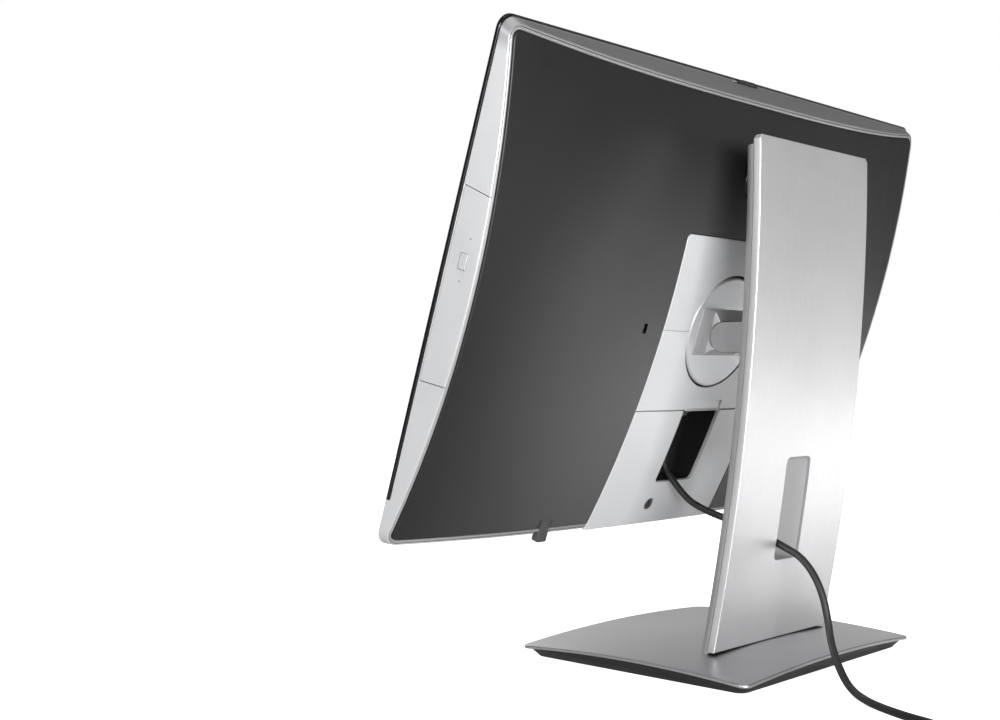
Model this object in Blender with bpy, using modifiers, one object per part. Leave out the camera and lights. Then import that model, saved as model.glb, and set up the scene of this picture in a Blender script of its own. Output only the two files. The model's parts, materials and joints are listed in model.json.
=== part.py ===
"""All-in-one computer on a height-adjustable stand, with its mains lead.

World frame: +Z up, origin on the table under the middle of the foot, the screen faces -Y.
Head pieces are drawn in the head's own frame: X to the side, Y is depth behind the glass,
Z is height above the middle of the glass. The head leans back by HEAD_TILT.
"""
import math

import bmesh
import bpy
import numpy as np
from mathutils import Matrix, Vector

# ---- driving sizes (metres) ----------------------------------------------------------------
GAP = 0.0003                 # clearance between neighbouring pieces

HEAD_WIDTH = 0.560
HEAD_HEIGHT = 0.368
HEAD_CORNER = 0.011          # corner radius of the front outline
HEAD_TOP = HEAD_HEIGHT / 2
HEAD_FOOT = -HEAD_HEIGHT / 2
BEYOND = HEAD_WIDTH + HEAD_HEIGHT    # reach of a tool that passes right through the head
HEAD_TILT = math.radians(18.64)
HEAD_CENTRE = Vector((0.0, -0.0358, 0.2783))
PIVOT_DROP = 0.0095          # the pivot axis is this far below the middle of the head

DEPTH_MIDDLE = 0.0465        # depth of the back at its fullest point
DEPTH_LOSS_SIDE = 0.0195     # depth lost between the middle and the side edge
DEPTH_LOSS_ENDS = 0.0155     # depth lost at DEPTH_REACH above or below the fullest point
DEPTH_REACH = HEAD_HEIGHT / 2 - 0.022
DEPTH_PEAK = 0.006           # height of the fullest point above the middle of the head
BEHIND = DEPTH_MIDDLE + 0.0135    # depth clear of the whole back
SIDE_POWER = 2.8

DRAFT_SIDE = 0.21            # slope of the frame's band, sideways per depth
DRAFT_TOP = 0.45
DRAFT_BOTTOM = 0.21
COVER_WALL = 0.003

GLASS_THICK = 0.003
CHIN_HEIGHT = 0.034          # silver strip under the glass

PANEL_TOP = 0.0648           # light rear panel, heights above the middle of the head
PANEL_SPLIT = -0.0755
PANEL_HALF_TOP = 0.0775
PANEL_HALF_FOOT = 0.0835
PANEL_CORNER = 0.005
PANEL_SEAM = 0.0006

DISC_RADIUS = 0.0454
DISC_FACE = DEPTH_MIDDLE - 0.0007    # depth of the disc's outer face
DISC_THICK = 0.0055
DISC_SEAM = 0.0010
PIVOT_SHAFT_RADIUS = 0.012
TILT_AXIS_DEPTH = DISC_FACE + 0.0137    # depth of the tilt axis behind the glass
WEDGE_HALF_WIDTH = 0.035
WEDGE_HALF_HEIGHT = 0.0188
BARREL_RADIUS = 0.0142
BARREL_HALF_WIDTH = 0.020
TONGUE_HALF_WIDTH = 0.0060
TONGUE_RADIUS = 0.0120
PIN_RADIUS = 0.0040

BAY_LEFT = -0.0315           # opening for the cables, in the lower panel
BAY_RIGHT = 0.0190
BAY_FOOT = -0.1410
BAY_HEAD = -0.0620           # the bay runs on under the upper panel
BAY_FLOOR = 0.0160
BAY_WALL = 0.0020

DRIVE_FOOT = -0.0630         # optical drive's bezel in the side band
DRIVE_HEAD = 0.0730
DRIVE_FRONT = 0.0045
DRIVE_LENGTH = 0.127

COLUMN_HALF = 0.0785         # half the width of the column's rear face
COLUMN_TOP = 0.3927
COLUMN_TOP_DEPTH = 0.0888    # y of the rear face at the top
COLUMN_LEAN = 0.289          # the rear face is a parabola: y falls by this times drop squared
COLUMN_THICK = 0.030
REAR_SHELL_DEPTH = 0.0062
SIDE_DEPTH = 0.0100          # the side stays nearly flat this far forward
SHELL_WALL = 0.0020
FRONT_INSET = 0.0006         # the front shell stands this far inside the rear one
FRONT_SHELL_DROP = 0.0065    # the front shell ends this far below the top
SLOT_HALF = 0.01725
SLOT_FOOT = 0.0805
SLOT_HEAD = 0.1593
SLOT_CORNER = 0.005
LINER_WALL = 0.0012

LIFT_DOWN = 0.045
LIFT_UP = 0.065
RAIL_X = 0.030
RAIL_Y = 0.0685
RAIL_RADIUS = 0.0025
CARRIAGE_HALF = 0.0375
CARRIAGE_FRONT = 0.0645
CARRIAGE_BACK = 0.0725
CARRIAGE_HALF_HEIGHT = 0.025

BASE_HALF_X = 0.1205
BASE_HALF_Y = 0.1028
BASE_CORNER = 0.007
BASE_CROWN = 0.0190          # height of the plate's middle
BASE_FALL = 0.0045           # drop from the middle to the middle of each edge
PLATE_THICK = 0.0025
PAN_FOOT_INSET = 0.0145
PAN_HEAD_INSET = 0.0030
PAN_FOOT = 0.0020
TURNTABLE_RADIUS = 0.078
TURNTABLE_TOP = 0.0062
FOOT_THICK = 0.0015
BEARING_RADIUS = 0.016
BEARING_TOP = 0.0100
FOOT_RING_WIDTH = 0.014

CORD_DIAMETER = 0.0055
CORD_POINT_SPACING = 2.5 * CORD_DIAMETER
COIL_CENTRE = (0.1560, 0.2990)
COIL_MIDDLE_RADIUS = 5.05 * CORD_DIAMETER
COIL_ACROSS = 3              # turns side by side
COIL_LAYERS = 3
COIL_OUTER = COIL_MIDDLE_RADIUS + COIL_ACROSS * CORD_DIAMETER / 2
PLUG_HALF_WIDTH = 0.013
PLUG_LENGTH = 0.036
PLUG_HEIGHT = 0.016
PIN_SPACING = 0.019
PLUG_PIN_RADIUS = 0.0024
PLUG_PIN_LENGTH = 0.018
PLUG_REAR = 0.004            # how far the plug's cord end lies short of the coil's middle
RELIEF_X = 0.003
RELIEF_DEPTH = 0.0235
RELIEF_HEAD = -0.0863
RELIEF_FOOT = -0.1145

# ---- colours: (colour, roughness, metallic) -------------------------------------------------
CHARCOAL = ((0.065, 0.065, 0.067, 1), 0.45, 0.0)
SILVER = ((0.62, 0.62, 0.63, 1), 0.35, 0.6)
LIGHT_PANEL = ((0.70, 0.70, 0.71, 1), 0.38, 0.4)
ALUMINIUM = ((0.60, 0.60, 0.61, 1), 0.30, 1.0)
STEEL = ((0.45, 0.45, 0.47, 1), 0.35, 1.0)
BLACK = ((0.012, 0.012, 0.013, 1), 0.45, 0.0)
GLASS_BLACK = ((0.008, 0.008, 0.010, 1), 0.06, 0.0)
RUBBER = ((0.02, 0.02, 0.02, 1), 0.75, 0.0)
BOARD = ((0.02, 0.12, 0.06, 1), 0.5, 0.0)


# ---- scene helpers ----------------------------------------------------------------------------
def clear_scene():
    for obj in list(bpy.data.objects):
        bpy.data.objects.remove(obj, do_unlink=True)


def new_collection(name):
    made = bpy.data.collections.new(name)
    bpy.context.scene.collection.children.link(made)
    return made


clear_scene()
PARTS = new_collection("all_in_one_pc")
CUTTERS = new_collection("cutters")


def empty(name, location, parent=None, rotation=(0, 0, 0)):
    made = bpy.data.objects.new(name, None)
    made.empty_display_size = 0.02
    made.location = location
    made.rotation_euler = rotation
    made.parent = parent
    PARTS.objects.link(made)
    return made


def material(name, look):
    colour, roughness, metallic = look
    made = bpy.data.materials.new(name)
    made.use_nodes = True
    shader = made.node_tree.nodes["Principled BSDF"]
    shader.inputs["Base Color"].default_value = colour
    shader.inputs["Roughness"].default_value = roughness
    shader.inputs["Metallic"].default_value = metallic
    made.diffuse_color = colour
    return made


def part(name, mesh, look, parent=None, location=(0, 0, 0)):
    """A finished sub-part: one object with its own material."""
    made = bpy.data.objects.new(name, mesh)
    mesh.materials.clear()
    mesh.materials.append(material(name, look))
    made.parent = parent
    made.location = location
    PARTS.objects.link(made)
    return made


def cutter(mesh, like):
    """A hidden tool placed in the same frame as the object it works on."""
    made = bpy.data.objects.new("tool_" + mesh.name, mesh)
    made.parent = like.parent
    made.location = like.location
    made.hide_render = True
    made.display_type = "WIRE"
    CUTTERS.objects.link(made)
    return made


def boolean(obj, mesh_or_tool, operation):
    tool = mesh_or_tool
    if isinstance(tool, bpy.types.Mesh):
        tool = cutter(tool, obj)
    modifier = obj.modifiers.new(operation.lower(), "BOOLEAN")
    modifier.operation = operation
    modifier.object = tool
    modifier.solver = "EXACT"
    return obj


def cut(obj, tool):
    return boolean(obj, tool, "DIFFERENCE")


def join(obj, tool):
    return boolean(obj, tool, "UNION")


def clip(obj, tool):
    return boolean(obj, tool, "INTERSECT")


def bevel(obj, width, segments=2, angle=40):
    modifier = obj.modifiers.new("bevel", "BEVEL")
    modifier.width = width
    modifier.segments = segments
    modifier.limit_method = "ANGLE"
    modifier.angle_limit = math.radians(angle)
    return obj


# ---- meshes -------------------------------------------------------------------------------------
def mesh_from(work, name):
    made = bpy.data.meshes.new(name)
    work.to_mesh(made)
    work.free()
    return made


def box(x, y, z, name="box"):
    """A block between the two values of each of x, y and z."""
    work = bmesh.new()
    bmesh.ops.create_cube(work, size=1)
    size = Vector((x[1] - x[0], y[1] - y[0], z[1] - z[0]))
    middle = Vector((x[0] + x[1], y[0] + y[1], z[0] + z[1])) / 2
    bmesh.ops.scale(work, vec=size, verts=work.verts)
    bmesh.ops.translate(work, vec=middle, verts=work.verts)
    return mesh_from(work, name)


def turn_to(axis):
    """The rotation that lays the Z axis along X, Y or Z."""
    if axis == "X":
        return Matrix.Rotation(math.pi / 2, 4, "Y")
    if axis == "Y":
        return Matrix.Rotation(-math.pi / 2, 4, "X")
    return Matrix.Identity(4)


def cylinder(radius, span, centre, axis, sides=32, top_radius=None, name="cylinder"):
    """A cylinder or cone along an axis, between the two values of span on that axis."""
    work = bmesh.new()
    length = span[1] - span[0]
    end_radius = radius if top_radius is None else top_radius
    bmesh.ops.create_cone(work, cap_ends=True, segments=sides, radius1=radius,
                          radius2=end_radius, depth=length)
    bmesh.ops.transform(work, matrix=turn_to(axis), verts=work.verts)
    middle = Vector(centre)
    middle["XYZ".index(axis)] = (span[0] + span[1]) / 2
    bmesh.ops.translate(work, vec=middle, verts=work.verts)
    made = mesh_from(work, name)
    made.shade_smooth()
    made.set_sharp_from_angle(angle=math.radians(35))
    return made


def rounded_rectangle(x, z, radius, steps=4, corners=(1, 1, 1, 1)):
    """Outline points anticlockwise from the lower right; corners are lr, ur, ul, ll."""
    centres = [(x[1], z[0], -90), (x[1], z[1], 0), (x[0], z[1], 90), (x[0], z[0], 180)]
    points = []
    for (corner_x, corner_z, start), used in zip(centres, corners):
        if not used:
            points.append((corner_x, corner_z))
            continue
        middle_x = corner_x - math.copysign(radius, corner_x - (x[0] + x[1]) / 2)
        middle_z = corner_z - math.copysign(radius, corner_z - (z[0] + z[1]) / 2)
        for step in range(steps + 1):
            angle = math.radians(start + 90 * step / steps)
            points.append((middle_x + radius * math.cos(angle), middle_z + radius * math.sin(angle)))
    return points


def flat_outline(points, span, axis, name="outline"):
    """A filled 2D curve given thickness along an axis, as a welded mesh."""
    curve = bpy.data.curves.new(name, "CURVE")
    curve.dimensions = "2D"
    curve.fill_mode = "BOTH"
    curve.extrude = (span[1] - span[0]) / 2
    spline = curve.splines.new("POLY")
    spline.points.add(len(points) - 1)
    for target, (a, b) in zip(spline.points, points):
        target.co = (a, b, 0, 1)
    spline.use_cyclic_u = True
    holder = bpy.data.objects.new(name, curve)
    PARTS.objects.link(holder)
    bpy.context.view_layer.update()
    graph = bpy.context.evaluated_depsgraph_get()
    made = bpy.data.meshes.new_from_object(holder.evaluated_get(graph))
    bpy.data.objects.remove(holder)
    work = bmesh.new()
    work.from_mesh(made)
    bmesh.ops.remove_doubles(work, verts=work.verts, dist=0.00002)
    middle = (span[0] + span[1]) / 2
    lay = {
        "X": Matrix(((0, 0, 1, middle), (1, 0, 0, 0), (0, 1, 0, 0), (0, 0, 0, 1))),
        "Y": Matrix(((1, 0, 0, 0), (0, 0, -1, middle), (0, 1, 0, 0), (0, 0, 0, 1))),
        "Z": Matrix.Translation((0, 0, middle)),
    }
    bmesh.ops.transform(work, matrix=lay[axis], verts=work.verts)
    bmesh.ops.recalc_face_normals(work, faces=work.faces)
    work.to_mesh(made)
    work.free()
    return made


def curved_sheet(half_x, half_z, cells, surface, outward, name):
    """A grid whose every point is given by surface(a, b), its faces turned to the outward side."""
    work = bmesh.new()
    bmesh.ops.create_grid(work, x_segments=cells[0], y_segments=cells[1], size=1)
    for vertex in work.verts:
        vertex.co = surface(vertex.co.x * half_x, vertex.co.y * half_z)
    work.normal_update()
    work.faces.ensure_lookup_table()
    if work.faces[0].normal.dot(Vector(outward)) < 0:
        bmesh.ops.reverse_faces(work, faces=work.faces)
    return mesh_from(work, name)


def solidify(obj, inward, outward):
    """Give an open sheet thickness on both sides of its surface."""
    modifier = obj.modifiers.new("solidify", "SOLIDIFY")
    modifier.thickness = inward + outward
    modifier.offset = (outward - inward) / (inward + outward)
    return obj


def turned(profile, steps, name, location=(0, 0, 0), look=BLACK, parent=None):
    """A profile of (radius, height) pairs at +X, outer side down, swept round Z."""
    work = bmesh.new()
    ring = [work.verts.new((radius, 0, height)) for radius, height in profile]
    for start, end in zip(ring, ring[1:] + ring[:1]):
        work.edges.new((start, end))
    made = part(name, mesh_from(work, name), look, parent, location)
    screw = made.modifiers.new("screw", "SCREW")
    screw.steps = steps
    screw.render_steps = steps
    screw.use_merge_vertices = True
    screw.merge_threshold = 0.00005
    return made


# ---- head frame --------------------------------------------------------------------------------
def from_head(x, depth, height):
    """World place of a point given in the head's frame."""
    back = Vector((0, math.cos(HEAD_TILT), -math.sin(HEAD_TILT)))
    up = Vector((0, math.sin(HEAD_TILT), math.cos(HEAD_TILT)))
    return HEAD_CENTRE + Vector((x, 0, 0)) + back * depth + up * height


def back_depth(x, height):
    """Depth of the rounded back: fullest in the middle, thinner towards every edge."""
    side = DEPTH_LOSS_SIDE * abs(x / (HEAD_WIDTH / 2)) ** SIDE_POWER
    ends = DEPTH_LOSS_ENDS * ((height - DEPTH_PEAK) / DEPTH_REACH) ** 2
    return DEPTH_MIDDLE - side - ends


TURNTABLE_AXIS = empty("swivel_axis", (0, 0, 0))
LIFT_GUIDE = empty("lift_guide", from_head(0, TILT_AXIS_DEPTH, -PIVOT_DROP), TURNTABLE_AXIS)
TILT_AXIS = empty("tilt_axis", (0, 0, 0), LIFT_GUIDE, (-HEAD_TILT, 0, 0))
PIVOT_AXIS = empty("pivot_axis", (0, -TILT_AXIS_DEPTH, 0), TILT_AXIS)
HEAD_PLACE = (0, 0, PIVOT_DROP)


def head_part(name, mesh, look):
    return part(name, mesh, look, PIVOT_AXIS, HEAD_PLACE)


def back_sheet():
    """The surface of the rounded back, a little larger than the head."""
    return curved_sheet(HEAD_WIDTH / 2 + 0.012, HEAD_HEIGHT / 2 + 0.012, (30, 20),
                        lambda x, z: Vector((x, back_depth(x, z), z)), (0, 1, 0), "back_sheet")


def behind_cover(like):
    """Everything behind the inner face of the rear cover."""
    tool = cutter(back_sheet(), like)
    return solidify(tool, COVER_WALL + GAP, BEHIND)


def drafted_block(depth, shrink=0.0):
    """The head's outline given depth, its sides drawn in towards the back."""
    half = HEAD_WIDTH / 2 - shrink
    tall = HEAD_HEIGHT / 2 - shrink
    outline = rounded_rectangle((-half, half), (-tall, tall), HEAD_CORNER)
    mesh = flat_outline(outline, depth, "Y", "drafted_block")
    for vertex in mesh.vertices:
        y = vertex.co.y
        vertex.co.x *= (half - DRAFT_SIDE * y) / half
        slope = DRAFT_TOP if vertex.co.z > 0 else DRAFT_BOTTOM
        vertex.co.z *= (tall - slope * y) / tall
    return mesh


FULL_DEPTH = (0.0, BEHIND)
CHIN_TOP = -HEAD_HEIGHT / 2 + CHIN_HEIGHT


def front_glass():
    half = HEAD_WIDTH / 2
    outline = rounded_rectangle((-half, half), (CHIN_TOP, HEAD_HEIGHT / 2), HEAD_CORNER,
                                corners=(0, 1, 1, 0))
    made = head_part("front_glass", flat_outline(outline, (0, GLASS_THICK), "Y"), GLASS_BLACK)
    return bevel(made, 0.0006, 1)


POCKET_HALF = HEAD_WIDTH / 2 - 0.010
POCKET_TOP = HEAD_TOP - 0.017
POCKET_FOOT = HEAD_FOOT + 0.009
BEZEL_INNER = POCKET_HALF - 0.0005
LATCH_X = 0.132
LATCH_HALF = 0.005
LATCH_HEAD = HEAD_FOOT + 0.0165
LATCH_FOOT = HEAD_FOOT - 0.0022
LATCH_OUTER = back_depth(LATCH_X, LATCH_HEAD) - 0.0005
LATCH_INNER = LATCH_OUTER - 0.0066
LATCH_TRAVEL = 0.004
SHUTTER_HALF = 0.012
SHUTTER_TRAVEL = 0.008
SHUTTER_DEPTH = (0.0040, 0.0074)
SHUTTER_SLOT = 0.0035
POWER_X = HEAD_WIDTH / 2 - 0.030
POWER_Z = CHIN_TOP - CHIN_HEIGHT / 2
POWER_RADIUS = 0.0042
GRILLE_HALF = 0.110
GRILLE_HALF_HEIGHT = 0.0075
GRILLE_DEPTH = 0.0012


def mid_frame():
    """Silver band and chin: a drafted ring, open to the front behind the glass."""
    made = head_part("mid_frame", drafted_block(FULL_DEPTH), SILVER)
    cut(made, box((-BEYOND, BEYOND), (-0.02, GLASS_THICK + GAP), (CHIN_TOP - GAP, BEYOND)))
    cut(made, box((-POCKET_HALF, POCKET_HALF), (-0.02, BEHIND + 0.01), (CHIN_TOP - GAP, POCKET_TOP)))
    cut(made, box((-POCKET_HALF, POCKET_HALF), (GLASS_THICK, BEHIND + 0.01),
                  (POCKET_FOOT, CHIN_TOP + 0.006)))
    cut(made, box((BEZEL_INNER - 0.002, BEYOND), (DRIVE_FRONT - GAP, BEHIND + 0.01),
                  (DRIVE_FOOT - GAP, DRIVE_HEAD + GAP)))
    cut(made, cylinder(POWER_RADIUS + GAP, (-0.01, 0.01), (POWER_X, 0, POWER_Z), "Y", 24))
    cut(made, box((-GRILLE_HALF, GRILLE_HALF), (-0.01, GRILLE_DEPTH),
                  (POWER_Z - GRILLE_HALF_HEIGHT, POWER_Z + GRILLE_HALF_HEIGHT)))
    cut(made, box((-SHUTTER_HALF - GAP, SHUTTER_HALF + SHUTTER_TRAVEL + GAP),
                  (SHUTTER_DEPTH[0] - GAP, SHUTTER_DEPTH[1] + GAP),
                  (HEAD_TOP - SHUTTER_SLOT, HEAD_TOP + 0.01)))
    for side in (-1, 1):
        cut(made, latch_notch(side))
    cut(made, behind_cover(made))
    return made


def latch_notch(side):
    near = LATCH_X - LATCH_HALF - GAP
    far = LATCH_X + LATCH_HALF + LATCH_TRAVEL + GAP
    x = sorted((side * near, side * far))
    return box(x, (LATCH_INNER - 0.0007, BEHIND + 0.01), (HEAD_FOOT - 0.026, LATCH_HEAD + 2 * GAP))


def speaker_grille():
    half = GRILLE_HALF - GAP
    tall = GRILLE_HALF_HEIGHT - GAP
    mesh = box((-half, half), (-0.0001, GRILLE_DEPTH - GAP), (POWER_Z - tall, POWER_Z + tall))
    return head_part("speaker_grille", mesh, STEEL)


def power_button():
    mesh = cylinder(POWER_RADIUS, (-0.0006, 0.0034), (POWER_X, 0, POWER_Z), "Y", 24)
    return head_part("power_button", mesh, SILVER)


def webcam_shutter():
    """Slider in the top edge with a raised thumb rib."""
    slider = (HEAD_TOP - SHUTTER_SLOT + 0.0004, HEAD_TOP - 0.0008)
    made = head_part("webcam_shutter", box((-SHUTTER_HALF, SHUTTER_HALF), SHUTTER_DEPTH, slider), BLACK)
    join(made, box((-0.0085, 0.0085), (SHUTTER_DEPTH[0] + 0.0006, SHUTTER_DEPTH[1] - 0.0006),
                   (HEAD_TOP - 0.0015, HEAD_TOP + 0.0012)))
    return made


def panel_half(height):
    """Half width of the light panel, wider towards its foot."""
    share = (PANEL_TOP - height) / (PANEL_TOP + HEAD_HEIGHT / 2)
    return PANEL_HALF_TOP + (PANEL_HALF_FOOT - PANEL_HALF_TOP) * share


def panel_outline(top, foot, grow=0.0, round_top=True):
    half_top = panel_half(top) + grow
    half_foot = panel_half(foot) + grow
    outline = rounded_rectangle((-half_top, half_top), (foot - grow, top + grow), PANEL_CORNER + grow,
                                corners=(0, round_top, round_top, 0))
    return [(math.copysign(half_foot, x), z) if z == foot - grow else (x, z) for x, z in outline]


def panel_opening():
    outline = panel_outline(PANEL_TOP, HEAD_FOOT - 0.026, PANEL_SEAM)
    return flat_outline(outline, (0.01, BEHIND), "Y", "opening")


def cover_slab(name, look):
    """A shell of the cover's thickness, trimmed to the head's outline."""
    made = head_part(name, back_sheet(), look)
    solidify(made, COVER_WALL, 0)
    clip(made, drafted_block(FULL_DEPTH))
    return made


BADGE_CENTRE = 0.1115
BADGE_RADIUS = 0.0185
LOCK_SLOT_X = (0.1005, 0.1035)
LOCK_SLOT_Z = (-0.0125, -0.0055)


def rear_cover():
    made = cover_slab("rear_cover", CHARCOAL)
    cut(made, panel_opening())
    cut(made, cylinder(BADGE_RADIUS + GAP, (0.02, BEHIND), (0, 0, BADGE_CENTRE), "Y", 40))
    cut(made, box(LOCK_SLOT_X, (0.02, BEHIND), LOCK_SLOT_Z, "lock_slot"))
    for side in (-1, 1):
        cut(made, latch_notch(side))
    return made


def badge():
    """Plain round badge set into the cover."""
    depth = back_depth(0, BADGE_CENTRE)
    mesh = cylinder(BADGE_RADIUS, (depth - 0.0045, depth + 0.0022), (0, 0, BADGE_CENTRE), "Y", 40)
    return bevel(head_part("round_badge", mesh, GLASS_BLACK), 0.0006, 1)


TAB_LEFT = -0.0305
TAB_RIGHT = 0.0165
TAB_HEAD = -0.0675
TAB_FACE = back_depth(0, TAB_HEAD) - COVER_WALL
TAB_LEAF = 0.0018            # thickness of the tab's spring leaf


def upper_panel():
    made = cover_slab("upper_panel", LIGHT_PANEL)
    clip(made, flat_outline(panel_outline(PANEL_TOP, PANEL_SPLIT), (0.01, BEHIND), "Y", "upper"))
    cut(made, cylinder(DISC_RADIUS + DISC_SEAM, (0.02, BEHIND), (0, 0, -PIVOT_DROP), "Y", 56))
    cut(made, box((TAB_LEFT, TAB_RIGHT), (0.02, BEHIND), (PANEL_SPLIT - 0.01, TAB_HEAD), "tab_notch"))
    return made


SCREW_X = 0.0130
SCREW_Z = HEAD_FOOT + 0.0225
SCREW_RADIUS = 0.0048


def port_cover():
    """Removable lower panel with the opening for the cables."""
    made = cover_slab("port_cover", LIGHT_PANEL)
    outline = panel_outline(PANEL_SPLIT - PANEL_SEAM, HEAD_FOOT - 0.026, round_top=False)
    clip(made, flat_outline(outline, (0.01, BEHIND), "Y", "lower"))
    window = rounded_rectangle((BAY_LEFT, BAY_RIGHT), (BAY_FOOT, PANEL_SPLIT + 0.01), 0.004,
                               corners=(1, 0, 0, 1))
    cut(made, flat_outline(window, (0.01, BEHIND), "Y", "window"))
    cut(made, cylinder(SCREW_RADIUS + 0.0004, (0.01, BEHIND), (SCREW_X, 0, SCREW_Z), "Y", 24))
    return made


def port_cover_tab():
    """Spring tab in the notch above the opening, pressed in to release the cover."""
    wide = (TAB_LEFT + GAP, TAB_RIGHT - GAP)
    leaf = box(wide, (TAB_FACE - TAB_LEAF, TAB_FACE), (PANEL_SPLIT - 0.0008, TAB_HEAD - GAP))
    made = head_part("port_cover_tab", leaf, LIGHT_PANEL)
    lip = (PANEL_SPLIT - 0.0012, PANEL_SPLIT + 0.0006)
    join(made, box(wide, (TAB_FACE - 0.0010, TAB_FACE + 0.0022), lip))
    return made


def cover_screw():
    depth = back_depth(SCREW_X, SCREW_Z)
    head = cylinder(SCREW_RADIUS, (depth - 0.0035, depth - 0.0006), (SCREW_X, 0, SCREW_Z), "Y", 24)
    made = head_part("cover_screw", head, STEEL)
    cut(made, box((SCREW_X - 0.0008, SCREW_X + 0.0008), (depth - 0.0016, depth + 0.01),
                  (SCREW_Z - 0.0030, SCREW_Z + 0.0030)))
    return made


def cover_latch(side, name):
    """Sliding catch in the bottom edge that frees the rear cover."""
    x = sorted((side * (LATCH_X - LATCH_HALF), side * (LATCH_X + LATCH_HALF)))
    mesh = box(x, (LATCH_INNER, LATCH_OUTER), (LATCH_FOOT, LATCH_HEAD))
    return bevel(head_part(name, mesh, BLACK), 0.0008, 1)


# ---- inside the head ------------------------------------------------------------------------------
PANEL_CLEAR = 0.008          # between the display and each side of the frame


def lcd_panel():
    half = POCKET_HALF - PANEL_CLEAR
    mesh = box((-half, half), (0.0040, 0.0105), (CHIN_TOP + 0.0050, POCKET_TOP - 0.0070))
    return head_part("lcd_panel", mesh, STEEL)


CHASSIS_BACK = 0.0117
STANDOFF_TOP = 0.0146
BOARD_X = (-0.112, 0.130)
BOARD_Z = (0.042, 0.134)
BOARD_THICK = 0.0016
STANDOFF_INSET = 0.0075


def chassis_plate():
    """Pressed steel plate behind the panel, with standoffs for the main board."""
    half = POCKET_HALF - PANEL_CLEAR
    mesh = box((-half, half), (CHASSIS_BACK - 0.0009, CHASSIS_BACK), (CHIN_TOP + 0.010, POCKET_TOP - 0.012))
    made = head_part("chassis_plate", mesh, STEEL)
    for x in (BOARD_X[0] + STANDOFF_INSET, BOARD_X[1] - STANDOFF_INSET):
        for z in (BOARD_Z[0] + STANDOFF_INSET, BOARD_Z[1] - STANDOFF_INSET):
            join(made, cylinder(0.003, (CHASSIS_BACK - 0.0005, STANDOFF_TOP), (x, 0, z), "Y", 12))
    return made


def main_board():
    mesh = box(BOARD_X, (STANDOFF_TOP + GAP, STANDOFF_TOP + GAP + BOARD_THICK), BOARD_Z)
    return head_part("main_board", mesh, BOARD)


BOARD_TOP = STANDOFF_TOP + GAP + BOARD_THICK + GAP
SINK_X = (0.020, 0.088)
SINK_Z = (0.052, 0.120)
SINK_BASE = 0.004
SINK_HEIGHT = 0.014
FINS = 9
FIN_THICK = 0.0015


def heat_sink():
    """Base block with fins along its height."""
    made = head_part("heat_sink", box(SINK_X, (BOARD_TOP, BOARD_TOP + SINK_BASE), SINK_Z), ALUMINIUM)
    for x in np.linspace(SINK_X[0] + 0.0015, SINK_X[1] - 0.0015 - FIN_THICK, FINS):
        join(made, box((x, x + FIN_THICK), (BOARD_TOP + SINK_BASE - 0.0005, BOARD_TOP + SINK_HEIGHT),
                       (SINK_Z[0] + 0.0005, SINK_Z[1] - 0.0005)))
    return made


FAN_X = -0.066
FAN_Z = 0.086
FAN_HALF = 0.034
FAN_BORE = 0.0315
FAN_HEIGHT = 0.013
FAN_FLOOR = 0.0015
HUB_RADIUS = 0.012
BLADES = 11
BLADE_TIP = 0.0292
BLADE_THICK = 0.0010


def fan_housing():
    """Blower casing, open at the back and towards the heat sink."""
    block = box((FAN_X - FAN_HALF, FAN_X + FAN_HALF), (BOARD_TOP, BOARD_TOP + FAN_HEIGHT),
                (FAN_Z - FAN_HALF, FAN_Z + FAN_HALF))
    made = head_part("fan_housing", block, BLACK)
    floor = BOARD_TOP + FAN_FLOOR
    cut(made, cylinder(FAN_BORE, (floor, BEHIND), (FAN_X, 0, FAN_Z), "Y", 32))
    cut(made, box((FAN_X, FAN_X + 0.05), (floor, BOARD_TOP + FAN_HEIGHT - 0.0015),
                  (FAN_Z - 0.022, FAN_Z + 0.022)))
    return made


def fan_impeller():
    """Hub and eleven flat blades on the fan's own axis."""
    hub = cylinder(HUB_RADIUS, (0, 0.009), (0, 0, 0), "Y", 24)
    place = (FAN_X, BOARD_TOP + FAN_FLOOR + 0.0007, FAN_Z + PIVOT_DROP)
    made = part("fan_impeller", hub, BLACK, PIVOT_AXIS, place)
    join(made, cylinder(BLADE_TIP + 0.0003, (0, 0.0010), (0, 0, 0), "Y", 32))
    for blade in range(BLADES):
        mesh = box((HUB_RADIUS - 0.0015, BLADE_TIP), (0.0005, 0.0088), (-BLADE_THICK / 2, BLADE_THICK / 2))
        mesh.transform(Matrix.Rotation(2 * math.pi * blade / BLADES, 4, "Y"))
        join(made, mesh)
    return made


def memory_module():
    mesh = box((SINK_X[1] + 0.006, SINK_X[1] + 0.036), (BOARD_TOP + 0.001, BOARD_TOP + 0.0036), SINK_Z)
    return head_part("memory_module", mesh, BOARD)


def storage_drive():
    return head_part("storage_drive", box((-0.235, -0.135), (0.0140, 0.0210), (0.030, 0.100)), STEEL)


def power_supply():
    return head_part("power_supply", box((-0.205, -0.100), (0.0140, 0.0255), (-0.110, -0.030)), STEEL)


def speaker(side, name):
    x = sorted((side * 0.120, side * 0.220))
    return head_part(name, box(x, (0.0045, 0.0115), (CHIN_TOP - 0.0225, CHIN_TOP - 0.0030)), BLACK)


def webcam_module():
    mesh = box((-0.012, 0.012), (0.0036, 0.0072), (POCKET_TOP - 0.0058, POCKET_TOP - 0.0004))
    return head_part("webcam_module", mesh, BLACK)


DRIVE_OUTER = BEZEL_INNER - 0.0010
DRIVE_CASE = (0.0120, 0.0215)
DRIVE_CASE_Z = (-0.0590, 0.0690)


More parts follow.
